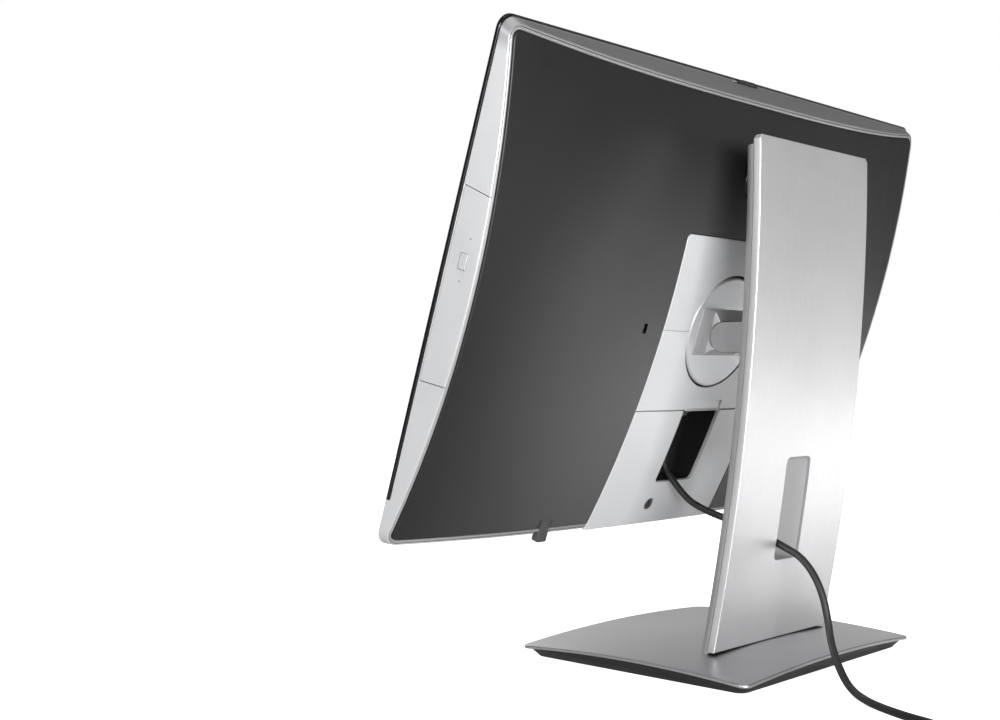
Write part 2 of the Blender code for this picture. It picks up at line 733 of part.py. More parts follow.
def optical_drive():
    """Sheet-metal case of the slim drive, open at the side of the head."""
    inner = DRIVE_OUTER - DRIVE_LENGTH
    made = head_part("optical_drive", box((inner, DRIVE_OUTER), DRIVE_CASE, DRIVE_CASE_Z), STEEL)
    cut(made, box((inner + 0.002, DRIVE_OUTER + 0.02), (DRIVE_CASE[0] + 0.001, DRIVE_CASE[1] - 0.001),
                  (DRIVE_CASE_Z[0] + 0.001, DRIVE_CASE_Z[1] - 0.001)))
    return made


TRAY_DEPTH = (0.0140, 0.0190)
DISC_WELL_RADIUS = 0.0603


def disc_tray():
    """Tray with a round well for the disc and a hub."""
    inner = DRIVE_OUTER - DRIVE_LENGTH + 0.004
    tray_z = (DRIVE_CASE_Z[0] + 0.0020, DRIVE_CASE_Z[1] - 0.0020)
    made = head_part("disc_tray", box((inner, DRIVE_OUTER - GAP), TRAY_DEPTH, tray_z), BLACK)
    centre = (inner + DISC_WELL_RADIUS + 0.0002, 0, sum(DRIVE_CASE_Z) / 2)
    cut(made, cylinder(DISC_WELL_RADIUS, (TRAY_DEPTH[0] + 0.0028, BEHIND), centre, "Y", 40))
    join(made, cylinder(0.0070, (TRAY_DEPTH[0] + 0.001, TRAY_DEPTH[1] - 0.0005), centre, "Y", 20))
    return made


EJECT_Y = (0.0132, 0.0190)
EJECT_Z = (0.0178, 0.0287)
PINHOLE = (0.0168, 0.0100)   # depth and height of the emergency hole
DRIVE_LIGHT = (0.0180, 0.0388)


def drive_bezel():
    """Part of the side band that rides out with the tray."""
    made = head_part("drive_bezel", drafted_block(FULL_DEPTH), SILVER)
    clip(made, box((BEZEL_INNER, BEYOND), (DRIVE_FRONT, BEHIND), (DRIVE_FOOT, DRIVE_HEAD)))
    cut(made, behind_cover(made))
    through = (BEZEL_INNER - 0.01, BEYOND)
    cut(made, box(through, (EJECT_Y[0] - GAP, EJECT_Y[1] + GAP), (EJECT_Z[0] - GAP, EJECT_Z[1] + GAP)))
    for radius, (depth, height) in ((0.0006, PINHOLE), (0.0008, DRIVE_LIGHT)):
        cut(made, cylinder(radius, through, (0, depth, height), "X", 8))
    return made


def eject_button():
    outer = HEAD_WIDTH / 2 - DRAFT_SIDE * EJECT_Y[0] - 0.0002
    made = head_part("eject_button", box((outer - 0.0045, outer), EJECT_Y, EJECT_Z), SILVER)
    return bevel(made, 0.0004, 1)


BEARING_OUTER = 0.030
SHAFT_FRONT = 0.0200


def pivot_bearing():
    """Block behind the chassis that the head turns in on the disc's shaft."""
    span = (CHASSIS_BACK + GAP, DISC_FACE - DISC_THICK - GAP)
    made = head_part("pivot_bearing", cylinder(BEARING_OUTER, span, (0, 0, -PIVOT_DROP), "Y", 32), STEEL)
    bore = (SHAFT_FRONT - 0.001, BEHIND)
    cut(made, cylinder(PIVOT_SHAFT_RADIUS + GAP, bore, (0, 0, -PIVOT_DROP), "Y", 32))
    return made


# ---- port bay, inlet and connector -------------------------------------------------------------
IO_FOOT = -0.0723


def port_bay():
    """Black box behind the opening; its rim follows the inside of the cover."""
    outer = box((BAY_LEFT - BAY_WALL, BAY_RIGHT + BAY_WALL), (BAY_FLOOR, BEHIND),
                (BAY_FOOT - BAY_WALL, BAY_HEAD + BAY_WALL))
    made = head_part("port_bay", outer, BLACK)
    cut(made, box((BAY_LEFT, BAY_RIGHT), (BAY_FLOOR + BAY_WALL, BEHIND + 0.01), (BAY_FOOT, BAY_HEAD)))
    cut(made, behind_cover(made))
    cut(made, box((TAB_LEFT - 0.001, TAB_RIGHT + 0.001), (TAB_FACE - TAB_LEAF - 0.0040, BEHIND),
                  (PANEL_SPLIT - 0.002, BAY_HEAD + 0.01)))
    return made


def power_inlet():
    """Connector block at the head of the bay, its socket facing down."""
    mesh = box((-0.0110, 0.0170), (0.0183, 0.0330), (IO_FOOT, BAY_HEAD - GAP))
    made = head_part("power_inlet", mesh, BLACK)
    return bevel(made, 0.0008, 1)


def usb_ports():
    mesh = box((-0.0310, -0.0120), (0.0183, 0.0300), (IO_FOOT, BAY_HEAD - GAP))
    made = head_part("usb_ports", mesh, STEEL)
    for depth in (0.0198, 0.0253):
        cut(made, box((-0.0290, -0.0140), (depth, depth + 0.0034), (IO_FOOT - 0.01, IO_FOOT + 0.006)))
    return made


def cord_connector():
    """Moulded body that plugs into the inlet."""
    mesh = box((RELIEF_X - 0.0095, RELIEF_X + 0.0095), (RELIEF_DEPTH - 0.0050, RELIEF_DEPTH + 0.0070),
               (RELIEF_HEAD + GAP, IO_FOOT - GAP))
    return bevel(head_part("cord_connector", mesh, BLACK), 0.0020, 2)


def strain_relief():
    """Tapered sleeve from the connector to the cord."""
    mesh = cylinder(CORD_DIAMETER / 2 + 0.0006, (RELIEF_FOOT, RELIEF_HEAD), (RELIEF_X, RELIEF_DEPTH, 0),
                    "Z", 24, top_radius=CORD_DIAMETER / 2 + 0.00225)
    return head_part("strain_relief", mesh, BLACK)


# ---- tilt and pivot ---------------------------------------------------------------------------------
def mount_disc():
    """Disc, pivot shaft and hinge wedge in one casting, on the tilt axis."""
    face = DISC_FACE - TILT_AXIS_DEPTH
    disc = cylinder(DISC_RADIUS, (face - DISC_THICK, face), (0, 0, 0), "Y", 56)
    made = part("mount_disc", disc, LIGHT_PANEL, TILT_AXIS)
    shaft = cylinder(PIVOT_SHAFT_RADIUS, (SHAFT_FRONT - TILT_AXIS_DEPTH, face - 0.001), (0, 0, 0), "Y", 32)
    join(made, shaft)
    wedge = box((-WEDGE_HALF_WIDTH, WEDGE_HALF_WIDTH), (face - 0.002, -0.006),
                (-WEDGE_HALF_HEIGHT, WEDGE_HALF_HEIGHT))
    narrow = (BARREL_HALF_WIDTH + 0.0006) / WEDGE_HALF_WIDTH
    for vertex in wedge.vertices:
        if vertex.co.y > -0.007:
            vertex.co.x *= narrow
            vertex.co.z *= 0.84
    join(made, wedge)
    for side in (-1, 1):
        x = sorted((side * TONGUE_HALF_WIDTH, side * 0.05))
        cut(made, cylinder(BARREL_RADIUS + GAP, x, (0, 0, 0), "X", 40))
    tongue = box((-TONGUE_HALF_WIDTH, TONGUE_HALF_WIDTH), (-0.0140, 0), (-0.0100, 0.0100))
    join(made, tongue)
    join(made, cylinder(TONGUE_RADIUS, (-TONGUE_HALF_WIDTH, TONGUE_HALF_WIDTH), (0, 0, 0), "X", 32))
    cut(made, cylinder(PIN_RADIUS + GAP, (-0.05, 0.05), (0, 0, 0), "X", 20))
    return made


def lift_arm():
    """Arm from the carriage, forked round the tongue, with a rounded end."""
    barrel = cylinder(BARREL_RADIUS, (-BARREL_HALF_WIDTH, BARREL_HALF_WIDTH), (0, 0, 0), "X", 40)
    made = part("lift_arm", barrel, STEEL, LIFT_GUIDE)
    reach = CARRIAGE_FRONT - GAP - LIFT_GUIDE.location.y
    join(made, box((-BARREL_HALF_WIDTH, BARREL_HALF_WIDTH), (0, reach), (-BARREL_RADIUS, BARREL_RADIUS)))
    cut(made, box((-TONGUE_HALF_WIDTH - GAP, TONGUE_HALF_WIDTH + GAP), (-0.05, 0.0165), (-0.05, 0.05)))
    cut(made, cylinder(PIN_RADIUS + GAP, (-0.05, 0.05), (0, 0, 0), "X", 20))
    return made


def tilt_pin():
    half = BARREL_HALF_WIDTH - 0.0005
    mesh = cylinder(PIN_RADIUS, (-half, half), (0, 0, 0), "X", 20)
    return part("tilt_pin", mesh, STEEL, LIFT_GUIDE)


def carriage():
    """Sliding block on the two guide rails."""
    base = Vector(LIFT_GUIDE.location)
    made = part("lift_carriage", box((-CARRIAGE_HALF, CARRIAGE_HALF),
                                     (CARRIAGE_FRONT - base.y, CARRIAGE_BACK - base.y),
                                     (-CARRIAGE_HALF_HEIGHT, CARRIAGE_HALF_HEIGHT)), STEEL, LIFT_GUIDE)
    for side in (-1, 1):
        cut(made, cylinder(RAIL_RADIUS + GAP, (-0.1, 0.1), (side * RAIL_X, RAIL_Y - base.y, 0), "Z", 20))
    return made


# ---- column -------------------------------------------------------------------------------------------
def rear_y(z):
    """y of the column's rear face at a height."""
    return COLUMN_TOP_DEPTH - COLUMN_LEAN * (COLUMN_TOP - z) ** 2


def front_bow(x, inset=0.0):
    """Depth in front of the rear face of the rounded front, at a place across the column."""
    half = COLUMN_HALF - inset
    reach = COLUMN_THICK - inset - SIDE_DEPTH * 0.6
    return SIDE_DEPTH * 0.6 + reach * math.sqrt(max(0.0, 1 - (x / half) ** 2))


def bend(mesh, stations=12):
    """Cut a straight upright into stations and lean each by the rear face's curve."""
    work = bmesh.new()
    work.from_mesh(mesh)
    heights = [vertex.co.z for vertex in work.verts]
    for z in np.linspace(min(heights), max(heights), stations + 1)[1:-1]:
        bmesh.ops.bisect_plane(work, geom=work.verts[:] + work.edges[:] + work.faces[:], dist=0.000001,
                               plane_co=(0, 0, z), plane_no=(0, 0, 1))
    for vertex in work.verts:
        vertex.co.y += rear_y(vertex.co.z)
    work.to_mesh(mesh)
    work.free()
    return mesh


def section(depth_from, inset):
    """Outline across the column from depth_from to its rounded front."""
    half = COLUMN_HALF - inset
    points = [(half, -depth_from), (-half, -depth_from)]
    side = -SIDE_DEPTH * 0.6
    if side < -depth_from:
        points.append((-half, side))
    for step in range(1, 16):
        x = -half * math.cos(math.pi * step / 16)
        points.append((x, -front_bow(x, inset)))
    if side < -depth_from:
        points.append((half, side))
    return points


PLATE_CLEAR = 0.0004


def above_plate(like):
    """Everything under a face just above the base plate."""
    tool = cutter(plate_sheet(0.001), like)
    return solidify(tool, 0.03, PLATE_CLEAR)


def column_rear_shell():
    """Flat aluminium back of the column, hollow from the front."""
    outline = rounded_rectangle((-COLUMN_HALF, COLUMN_HALF), (-REAR_SHELL_DEPTH, 0), 0.0012, 2,
                                (0, 1, 1, 0))
    outer = bend(flat_outline(outline, (0.005, COLUMN_TOP), "Z"))
    made = part("column_rear_shell", outer, ALUMINIUM, TURNTABLE_AXIS)
    half = COLUMN_HALF - SHELL_WALL
    inner = rounded_rectangle((-half, half), (-0.05, -SHELL_WALL), 0.001, 2, (0, 0, 0, 0))
    cut(made, bend(flat_outline(inner, (0.0, COLUMN_TOP - SHELL_WALL), "Z")))
    cut(made, slot_block(SLOT_HALF, SLOT_FOOT, SLOT_HEAD, SLOT_CORNER))
    for side in (-1, 1):
        cut(made, corner_chamfer(side))
    cut(made, above_plate(made))
    return made


def corner_chamfer(side):
    """Wedge that takes off an upper corner of the column."""
    mesh = box((-0.012, 0.012), (0.0, 0.2), (-0.012, 0.012))
    mesh.transform(Matrix.Rotation(math.radians(45), 4, "Y"))
    mesh.transform(Matrix.Translation((side * (COLUMN_HALF + 0.0135), 0, COLUMN_TOP + 0.0005)))
    return mesh


def slot_block(half, foot, head, corner):
    outline = rounded_rectangle((-half, half), (foot, head), corner)
    return flat_outline(outline, (0.0, 0.15), "Y", "slot")


def column_front_shell():
    """Rounded plastic front of the column, with slots for the arm and the cables."""
    top = COLUMN_TOP - FRONT_SHELL_DROP
    outer = section(REAR_SHELL_DEPTH + GAP, FRONT_INSET)
    made = part("column_front_shell", bend(flat_outline(outer, (0.005, top), "Z")), STEEL, TURNTABLE_AXIS)
    inner = section(0.0, FRONT_INSET + SHELL_WALL)
    cut(made, bend(flat_outline(inner, (0.0, top - SHELL_WALL), "Z")))
    cut(made, slot_block(SLOT_HALF, SLOT_FOOT, SLOT_HEAD, SLOT_CORNER))
    arm_z = LIFT_GUIDE.location.z
    reach = BARREL_RADIUS + 0.002
    arm_slot = rounded_rectangle((-BARREL_HALF_WIDTH - 0.0015, BARREL_HALF_WIDTH + 0.0015),
                                 (arm_z - reach - LIFT_DOWN, arm_z + reach + LIFT_UP), 0.004)
    cut(made, flat_outline(arm_slot, (0.0, 0.0735), "Y", "arm_slot"))
    cut(made, above_plate(made))
    return made


def slot_liner():
    """Sleeve between the two shells that guides the cables through the column."""
    foot = SLOT_FOOT - LINER_WALL
    head = SLOT_HEAD + LINER_WALL
    half = SLOT_HALF + LINER_WALL
    front = COLUMN_THICK - SHELL_WALL - FRONT_INSET - GAP
    outline = [(-half, -front), (half, -front), (half, -SHELL_WALL - GAP), (-half, -SHELL_WALL - GAP)]
    made = part("slot_liner", bend(flat_outline(outline, (foot, head), "Z"), 6), STEEL, TURNTABLE_AXIS)
    cut(made, slot_block(SLOT_HALF, SLOT_FOOT, SLOT_HEAD, SLOT_CORNER))
    cut(made, liner_front())
    return made


def liner_front():
    """Trims the sleeve to the inside of the rounded front."""
    bow = section(0.0, FRONT_INSET + SHELL_WALL + GAP)[2:]
    strip = [(-0.09, bow[0][1]), (-0.09, -0.06), (0.09, -0.06), (0.09, bow[-1][1])] + bow[::-1]
    return bend(flat_outline(strip, (0.0, 0.3), "Z"))


def guide_rail(side, name):
    mesh = cylinder(RAIL_RADIUS, (RAIL_FOOT + GAP, RAIL_HEAD - GAP), (side * RAIL_X, RAIL_Y, 0), "Z", 16)
    return part(name, mesh, STEEL, TURNTABLE_AXIS)


RAIL_FOOT = 0.1745
RAIL_HEAD = 0.3730


def rail_bracket(name, span):
    mesh = box((-0.0345, 0.0345), (RAIL_Y - 0.0030, RAIL_Y + 0.0030), span)
    return part(name, mesh, STEEL, TURNTABLE_AXIS)


def lift_spring():
    """Roll of the constant-force spring that carries the head's weight."""
    mesh = cylinder(0.0085, (-0.012, 0.012), (0, 0.0745, 0.3605), "X", 28)
    made = part("lift_spring", mesh, STEEL, TURNTABLE_AXIS)
    cut(made, cylinder(0.0035, (-0.05, 0.05), (0, 0.0745, 0.3605), "X", 16))
    return made


def spring_pin():
    mesh = cylinder(0.0032, (-0.020, 0.020), (0, 0.0745, 0.3605), "X", 16)
    return part("spring_pin", mesh, STEEL, TURNTABLE_AXIS)


def column_foot():
    """Steel block that bolts the column to the base."""
    mesh = box((-0.045, 0.045), (0.0315, 0.0455), (BASE_CROWN + PLATE_CLEAR, 0.045))
    return part("column_foot", mesh, STEEL, TURNTABLE_AXIS)


# ---- base ---------------------------------------------------------------------------------------------
def plate_z(x, y):
    """Height of the base plate's domed top."""
    return BASE_CROWN - BASE_FALL * ((x / BASE_HALF_X) ** 2 + (y / BASE_HALF_Y) ** 2)


def plate_sheet(grow):
    """The domed top as an open sheet."""
    return curved_sheet(BASE_HALF_X + grow, BASE_HALF_Y + grow, (16, 14),
                        lambda x, y: Vector((x, y, plate_z(x, y))), (0, 0, 1), "plate_sheet")


def base_plate():
    made = part("base_plate", plate_sheet(0.002), ALUMINIUM, TURNTABLE_AXIS)
    solidify(made, PLATE_THICK, 0)
    outline = rounded_rectangle((-BASE_HALF_X, BASE_HALF_X), (-BASE_HALF_Y, BASE_HALF_Y), BASE_CORNER)
    clip(made, flat_outline(outline, (-0.01, 0.05), "Z"))
    return made


def base_pan():
    """Black pan under the plate, drawn in towards the table."""
    half_x = BASE_HALF_X - PAN_HEAD_INSET
    half_y = BASE_HALF_Y - PAN_HEAD_INSET
    outline = rounded_rectangle((-half_x, half_x), (-half_y, half_y), BASE_CORNER)
    block = flat_outline(outline, (PAN_FOOT, 0.025), "Z")
    draw_in = PAN_FOOT_INSET - PAN_HEAD_INSET
    for vertex in block.vertices:
        if vertex.co.z < 0.01:
            vertex.co.x *= (half_x - draw_in) / half_x
            vertex.co.y *= (half_y - draw_in) / half_y
    made = part("base_pan", block, BLACK, TURNTABLE_AXIS)
    tool = cutter(plate_sheet(0.003), made)
    cut(made, solidify(tool, PLATE_THICK + GAP, 0.03))
    cut(made, cylinder(TURNTABLE_RADIUS + 0.0005, (-0.01, TURNTABLE_TOP + GAP), (0, 0, 0), "Z", 64))
    cut(made, cylinder(BEARING_RADIUS + GAP, (-0.01, BEARING_TOP + 0.0005), (0, 0, 0), "Z", 32))
    return made


def turntable():
    """Root piece: the disc on the table that the base swivels on."""
    disc = cylinder(TURNTABLE_RADIUS, (FOOT_THICK + GAP, TURNTABLE_TOP), (0, 0, 0), "Z", 64)
    made = part("turntable", disc, STEEL)
    join(made, cylinder(BEARING_RADIUS, (TURNTABLE_TOP - 0.001, BEARING_TOP), (0, 0, 0), "Z", 32))
    return made


def foot_ring():
    ring = cylinder(TURNTABLE_RADIUS - 0.002, (0, FOOT_THICK), (0, 0, 0), "Z", 64)
    made = part("foot_ring", ring, RUBBER)
    cut(made, cylinder(TURNTABLE_RADIUS - 0.002 - FOOT_RING_WIDTH, (-0.01, 0.02), (0, 0, 0), "Z", 48))
    return made


# ---- mains lead ------------------------------------------------------------------------------------------
TABLE = CORD_DIAMETER / 2
RELIEF_STRAIGHT = 0.002      # straight run below the strain relief
RELIEF_ARC = 0.020           # bend radius where the lead leaves the bay


def bay_bend():
    """The lead's first bend, from straight down the head to out over the bay's edge."""
    start = RELIEF_FOOT - GAP
    points = [from_head(RELIEF_X, RELIEF_DEPTH, start)]
    for degrees in (0, 22, 44, 62):
        turn = math.radians(degrees)
        points.append(from_head(RELIEF_X, RELIEF_DEPTH + RELIEF_ARC * (1 - math.cos(turn)),
                                start - RELIEF_STRAIGHT - RELIEF_ARC * math.sin(turn)))
    return points


ROUTE = [
    (0.0035, -0.0275, 0.1215),
    (0.0060, -0.0080, 0.1135),
    (0.0080, 0.0130, 0.1082),
    (0.0100, 0.0340, 0.1035),
    (0.0115, 0.0520, 0.0970),
    (0.0125, 0.0679, 0.0910),
    (0.0130, 0.0815, 0.0845),
    (0.0135, 0.0930, 0.0725),
    (0.0145, 0.1010, 0.0570),
    (0.0165, 0.1060, 0.0410),
    (0.0215, 0.1115, 0.0270),
    (0.0320, 0.1225, 0.0145),
    (0.0480, 0.1385, 0.0060),
    (0.0640, 0.1560, TABLE),
    (0.0790, 0.1750, TABLE),
    (0.0915, 0.2000, TABLE),
    (0.0995, 0.2250, TABLE),
    (0.1080, 0.2510, TABLE),
    (0.1138, 0.2750, TABLE),
    (COIL_CENTRE[0] - COIL_OUTER - CORD_DIAMETER / 2 - GAP, COIL_CENTRE[1], TABLE),
]
CORD_END = 0.0010            # a short straight end, so that two lengths meet square
CORD_CUTS = (0.058, 0.098, 0.150, 0.292)   # lengths along the lead where its nodes part


def smooth_route(points, step=0.001):
    """Evenly spaced places along the Catmull-Rom curve through the points."""
    knots = [np.array(p, float) for p in points]
    knots = [2 * knots[0] - knots[1]] + knots + [2 * knots[-1] - knots[-2]]
    places = []
    for a, b, c, d in zip(knots, knots[1:], knots[2:], knots[3:]):
        for t in np.linspace(0, 1, 60, endpoint=False):
            places.append(0.5 * (2 * b + (c - a) * t + (2 * a - 5 * b + 4 * c - d) * t ** 2
                                 + (3 * b - a - 3 * c + d) * t ** 3))
    places.append(knots[-2])
    places = np.array(places)
    lengths = np.r_[0, np.cumsum(np.linalg.norm(np.diff(places, axis=0), axis=1))]
    along = np.arange(0, lengths[-1], step)
    even = np.column_stack([np.interp(along, lengths, places[:, axis]) for axis in range(3)])
    even[:, 2] = np.maximum(even[:, 2], TABLE)
    return along, even


def cord_tube(name, places):
    curve = bpy.data.curves.new(name, "CURVE")
    curve.dimensions = "3D"
    curve.bevel_depth = CORD_DIAMETER / 2
    curve.bevel_resolution = 2
    curve.use_fill_caps = True
    spline = curve.splines.new("POLY")
    spline.points.add(len(places) - 1)
    for target, place in zip(spline.points, places):
        target.co = (*place, 1)
    made = bpy.data.objects.new(name, curve)
    curve.materials.append(material(name, RUBBER))
    PARTS.objects.link(made)
    return made


def cord_sections():
    """The lead in five lengths, which meet end to end where the moving bodies meet."""
    along, places = smooth_route(bay_bend() + ROUTE)
    cuts = [0.0, *CORD_CUTS, along[-1]]
    for index, (start, end) in enumerate(zip(cuts, cuts[1:]), 1):
        first = start + (GAP if index > 1 else 0)
        count = max(3, round((end - first) / CORD_POINT_SPACING) + 1)
        wanted = np.linspace(first, end, count)
        wanted = np.sort(np.r_[wanted, first + CORD_END, end - CORD_END])
        run = np.column_stack([np.interp(wanted, along, places[:, axis]) for axis in range(3)])
        cord_tube(f"power_cord_{index}", run)


def cord_coil():
    """Outer shape of the coiled length: a ring with rounded section."""
    height = COIL_LAYERS * CORD_DIAMETER
    inner = COIL_MIDDLE_RADIUS - COIL_ACROSS * CORD_DIAMETER / 2
    outer = COIL_OUTER
    soft = CORD_DIAMETER / 2
    profile = [(inner, soft), (inner, height - soft), (inner + soft, height), (outer - soft, height),
               (outer, height - soft), (outer, soft), (outer - soft, 0), (inner + soft, 0)]
    return turned(profile, 40, "cord_coil", (*COIL_CENTRE, 0), RUBBER)


def mains_plug():
    """Two-pin plug lying beside the coil, its cord end by the coil's outer turn."""
    side = math.sqrt((COIL_OUTER + GAP) ** 2 - PLUG_REAR ** 2)
    body = box((0, 2 * PLUG_HALF_WIDTH), (-PLUG_REAR - PLUG_LENGTH, -PLUG_REAR), (0, PLUG_HEIGHT))
    made = part("mains_plug", body, BLACK, None, (COIL_CENTRE[0] + side, COIL_CENTRE[1], 0))
    end = -PLUG_REAR - PLUG_LENGTH
    for x in (PLUG_HALF_WIDTH - PIN_SPACING / 2, PLUG_HALF_WIDTH + PIN_SPACING / 2):
        join(made, cylinder(PLUG_PIN_RADIUS, (end - PLUG_PIN_LENGTH, end + 0.002), (x, 0, PLUG_HEIGHT / 2),
                            "Y", 16))
    return made


# ---- assembly ---------------------------------------------------------------------------------
def build():
    front_glass()
    mid_frame()
    speaker_grille()
    power_button()
    webcam_shutter()
    rear_cover()
    badge()
    upper_panel()
    port_cover()
    port_cover_tab()
    cover_screw()
    cover_latch(1, "cover_latch_drive_side")
    cover_latch(-1, "cover_latch_far_side")
    lcd_panel()
    chassis_plate()
    main_board()
    heat_sink()
    fan_housing()
    fan_impeller()
    memory_module()
    storage_drive()
    power_supply()
    speaker(1, "speaker_drive_side")
    speaker(-1, "speaker_far_side")
    webcam_module()
    optical_drive()
    disc_tray()
    drive_bezel()
    eject_button()
    pivot_bearing()
    port_bay()
    power_inlet()
    usb_ports()
    cord_connector()
    strain_relief()
    mount_disc()
    lift_arm()
    tilt_pin()
    carriage()
    column_rear_shell()
    column_front_shell()
    slot_liner()
    guide_rail(1, "guide_rail_drive_side")
    guide_rail(-1, "guide_rail_far_side")
    rail_bracket("rail_bracket_lower", (RAIL_FOOT - 0.008, RAIL_FOOT))
    rail_bracket("rail_bracket_upper", (RAIL_HEAD, RAIL_HEAD + 0.006))
    lift_spring()
    spring_pin()
    column_foot()
    base_plate()
    base_pan()
    turntable()
    foot_ring()
    cord_sections()
    cord_coil()
    mains_plug()


build()
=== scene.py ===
"""Looks of the all-in-one computer: camera, mains lead, finished surfaces, materials and light.

Pieces of the head are worked out in the head's own frame: x to the side, depth behind the
glass, height above the middle of the glass. Metres throughout.
"""
import json
import math

import bmesh
import bpy
import numpy as np
from mathutils import Matrix, Vector


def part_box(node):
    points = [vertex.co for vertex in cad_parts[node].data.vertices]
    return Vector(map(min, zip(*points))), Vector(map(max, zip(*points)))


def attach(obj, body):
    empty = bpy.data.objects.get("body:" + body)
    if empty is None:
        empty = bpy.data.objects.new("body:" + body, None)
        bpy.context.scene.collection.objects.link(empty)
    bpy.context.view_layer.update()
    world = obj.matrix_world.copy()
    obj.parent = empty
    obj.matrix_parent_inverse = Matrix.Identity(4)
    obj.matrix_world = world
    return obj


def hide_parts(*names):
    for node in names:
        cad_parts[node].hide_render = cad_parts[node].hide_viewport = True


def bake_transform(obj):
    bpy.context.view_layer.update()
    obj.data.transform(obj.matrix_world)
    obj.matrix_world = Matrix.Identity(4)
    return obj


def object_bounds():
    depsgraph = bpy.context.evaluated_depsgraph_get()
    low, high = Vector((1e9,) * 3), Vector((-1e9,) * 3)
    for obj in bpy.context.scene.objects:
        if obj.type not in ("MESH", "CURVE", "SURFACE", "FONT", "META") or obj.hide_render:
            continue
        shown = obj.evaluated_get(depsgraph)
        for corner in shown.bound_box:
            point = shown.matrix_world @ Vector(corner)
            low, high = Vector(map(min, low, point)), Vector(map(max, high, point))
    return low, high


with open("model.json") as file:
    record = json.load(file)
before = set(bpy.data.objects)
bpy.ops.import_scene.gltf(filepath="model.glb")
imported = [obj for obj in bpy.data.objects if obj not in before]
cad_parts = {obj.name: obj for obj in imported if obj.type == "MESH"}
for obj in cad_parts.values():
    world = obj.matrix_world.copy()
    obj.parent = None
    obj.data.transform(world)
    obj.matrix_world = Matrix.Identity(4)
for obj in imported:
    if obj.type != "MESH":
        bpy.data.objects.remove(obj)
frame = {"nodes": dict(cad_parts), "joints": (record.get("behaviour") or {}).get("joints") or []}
CAD_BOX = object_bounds()
NODES = frame["nodes"]
GAP = 0.0003          # clearance between neighbouring pieces


# ---- the head's frame ----------------------------------------------------------------------------
def joint(name):
    """The frame's entry of a joint."""
    return next(entry for entry in frame["joints"] if entry["name"] == name)


HEAD_TILT = math.radians(18.64)
PIVOT_DROP = 0.0095
SIDE = np.array([1.0, 0.0, 0.0])
BACK = np.array([0.0, math.cos(HEAD_TILT), -math.sin(HEAD_TILT)])
UP = np.array([0.0, math.sin(HEAD_TILT), math.cos(HEAD_TILT)])
PIVOT_POINT = np.array(joint("pivot")["pos_m"])
TILT_POINT = np.array(joint("tilt")["pos_m"])
HEAD_CENTRE = PIVOT_POINT + UP * PIVOT_DROP

HEAD_WIDTH = 0.560
HEAD_HEIGHT = 0.368
HALF_WIDTH = HEAD_WIDTH / 2
HALF_HEIGHT = HEAD_HEIGHT / 2
HEAD_CORNER = 0.011
DEPTH_MIDDLE = 0.0465               # the rounded back, where it is fullest
DEPTH_PEAK = 0.006                  # the height at which it is
DEPTH_LOSS_SIDE = 0.0195            # how much less it is at the sides
DEPTH_LOSS_ENDS = 0.0155            # and above and below, at the reach from the peak
DEPTH_REACH = HALF_HEIGHT - 0.022
SIDE_POWER = 2.8
DRAFT_SIDE = 0.21                   # how far the band's walls lean in, for each metre of depth
DRAFT_TOP = 0.45
DRAFT_BOTTOM = 0.21
GLASS_THICK = 0.003
CHIN_TOP = -HALF_HEIGHT + 0.034
BAND_WALL = 0.0011
COVER_RIM = 0.0010
DISC_RADIUS = 0.0454
DRIVE_FOOT = -0.0630                # heights of the drive's two seams
DRIVE_HEAD = 0.0730
DRIVE_FRONT = 0.0045


def in_head(x, depth, height):
    """World places of points given in the head's frame."""
    x, depth, height = np.broadcast_arrays(x, depth, height)
    return HEAD_CENTRE + x[..., None] * SIDE + depth[..., None] * BACK + height[..., None] * UP


def upright(a, depth, b):
    """World places of plates that lie flat: a and b are x and y, depth is height."""
    return np.stack(np.broadcast_arrays(a, b, depth), -1).astype(float)


def sideways(a, depth, b):
    """World places on the head's side: a is depth, b is height, and the surface stands out along x."""
    return in_head(depth, a, b)


def front_place(x, depth, height):
    """Like in_head, with depth counted forwards, for pieces that face the front."""
    return in_head(x, -depth, height)


def in_base(x, y, z):
    """World places of points already in the base's frame."""
    return np.stack(np.broadcast_arrays(x, y, z), -1).astype(float)


# ---- camera --------------------------------------------------------------------------------------
CAMERA_PLACE = (0.9012, 0.6025, 0.2215)
CAMERA_AIM = Vector((-0.7315, -0.6819, 0.0107))
CAMERA_LENS = 48.37


def camera():
    """The view from behind, on the drive's side, a little above the base."""
    data = bpy.data.cameras.new("camera")
    data.lens = CAMERA_LENS
    data.sensor_width = 36
    made = bpy.data.objects.new("camera", data)
    made.location = CAMERA_PLACE
    made.rotation_euler = CAMERA_AIM.to_track_quat("-Z", "Y").to_euler()
    bpy.context.scene.collection.objects.link(made)
    bpy.context.scene.camera = made


camera()


# ---- meshes --------------------------------------------------------------------------------------
SHARP = 32


def grid_faces(rows, across, close_rows=False, close_across=False):
    """Quads of a grid of points; a closed direction also joins its last points to its first."""
    row = np.arange(rows if close_rows else rows - 1)
    place = np.arange(across if close_across else across - 1)
    row, place = np.meshgrid(row, place, indexing="ij")
    next_row = (row + 1) % rows
    next_place = (place + 1) % across
    quads = [row * across + place, next_row * across + place,
             next_row * across + next_place, row * across + next_place]
    return np.stack(quads, -1).reshape(-1, 4).tolist()


def closed_object(name, points, faces):
    """An object from points and faces, its doubles merged and its faces turned outwards."""
    mesh = bpy.data.meshes.new(name)
    mesh.from_pydata(np.asarray(points, float).reshape(-1, 3).tolist(), [], faces)
    work = bmesh.new()
    work.from_mesh(mesh)
    bmesh.ops.remove_doubles(work, verts=work.verts, dist=0.000001)
    bmesh.ops.recalc_face_normals(work, faces=work.faces)
    work.to_mesh(mesh)
    work.free()
    made = bpy.data.objects.new(name, mesh)
    bpy.context.scene.collection.objects.link(made)
    return made


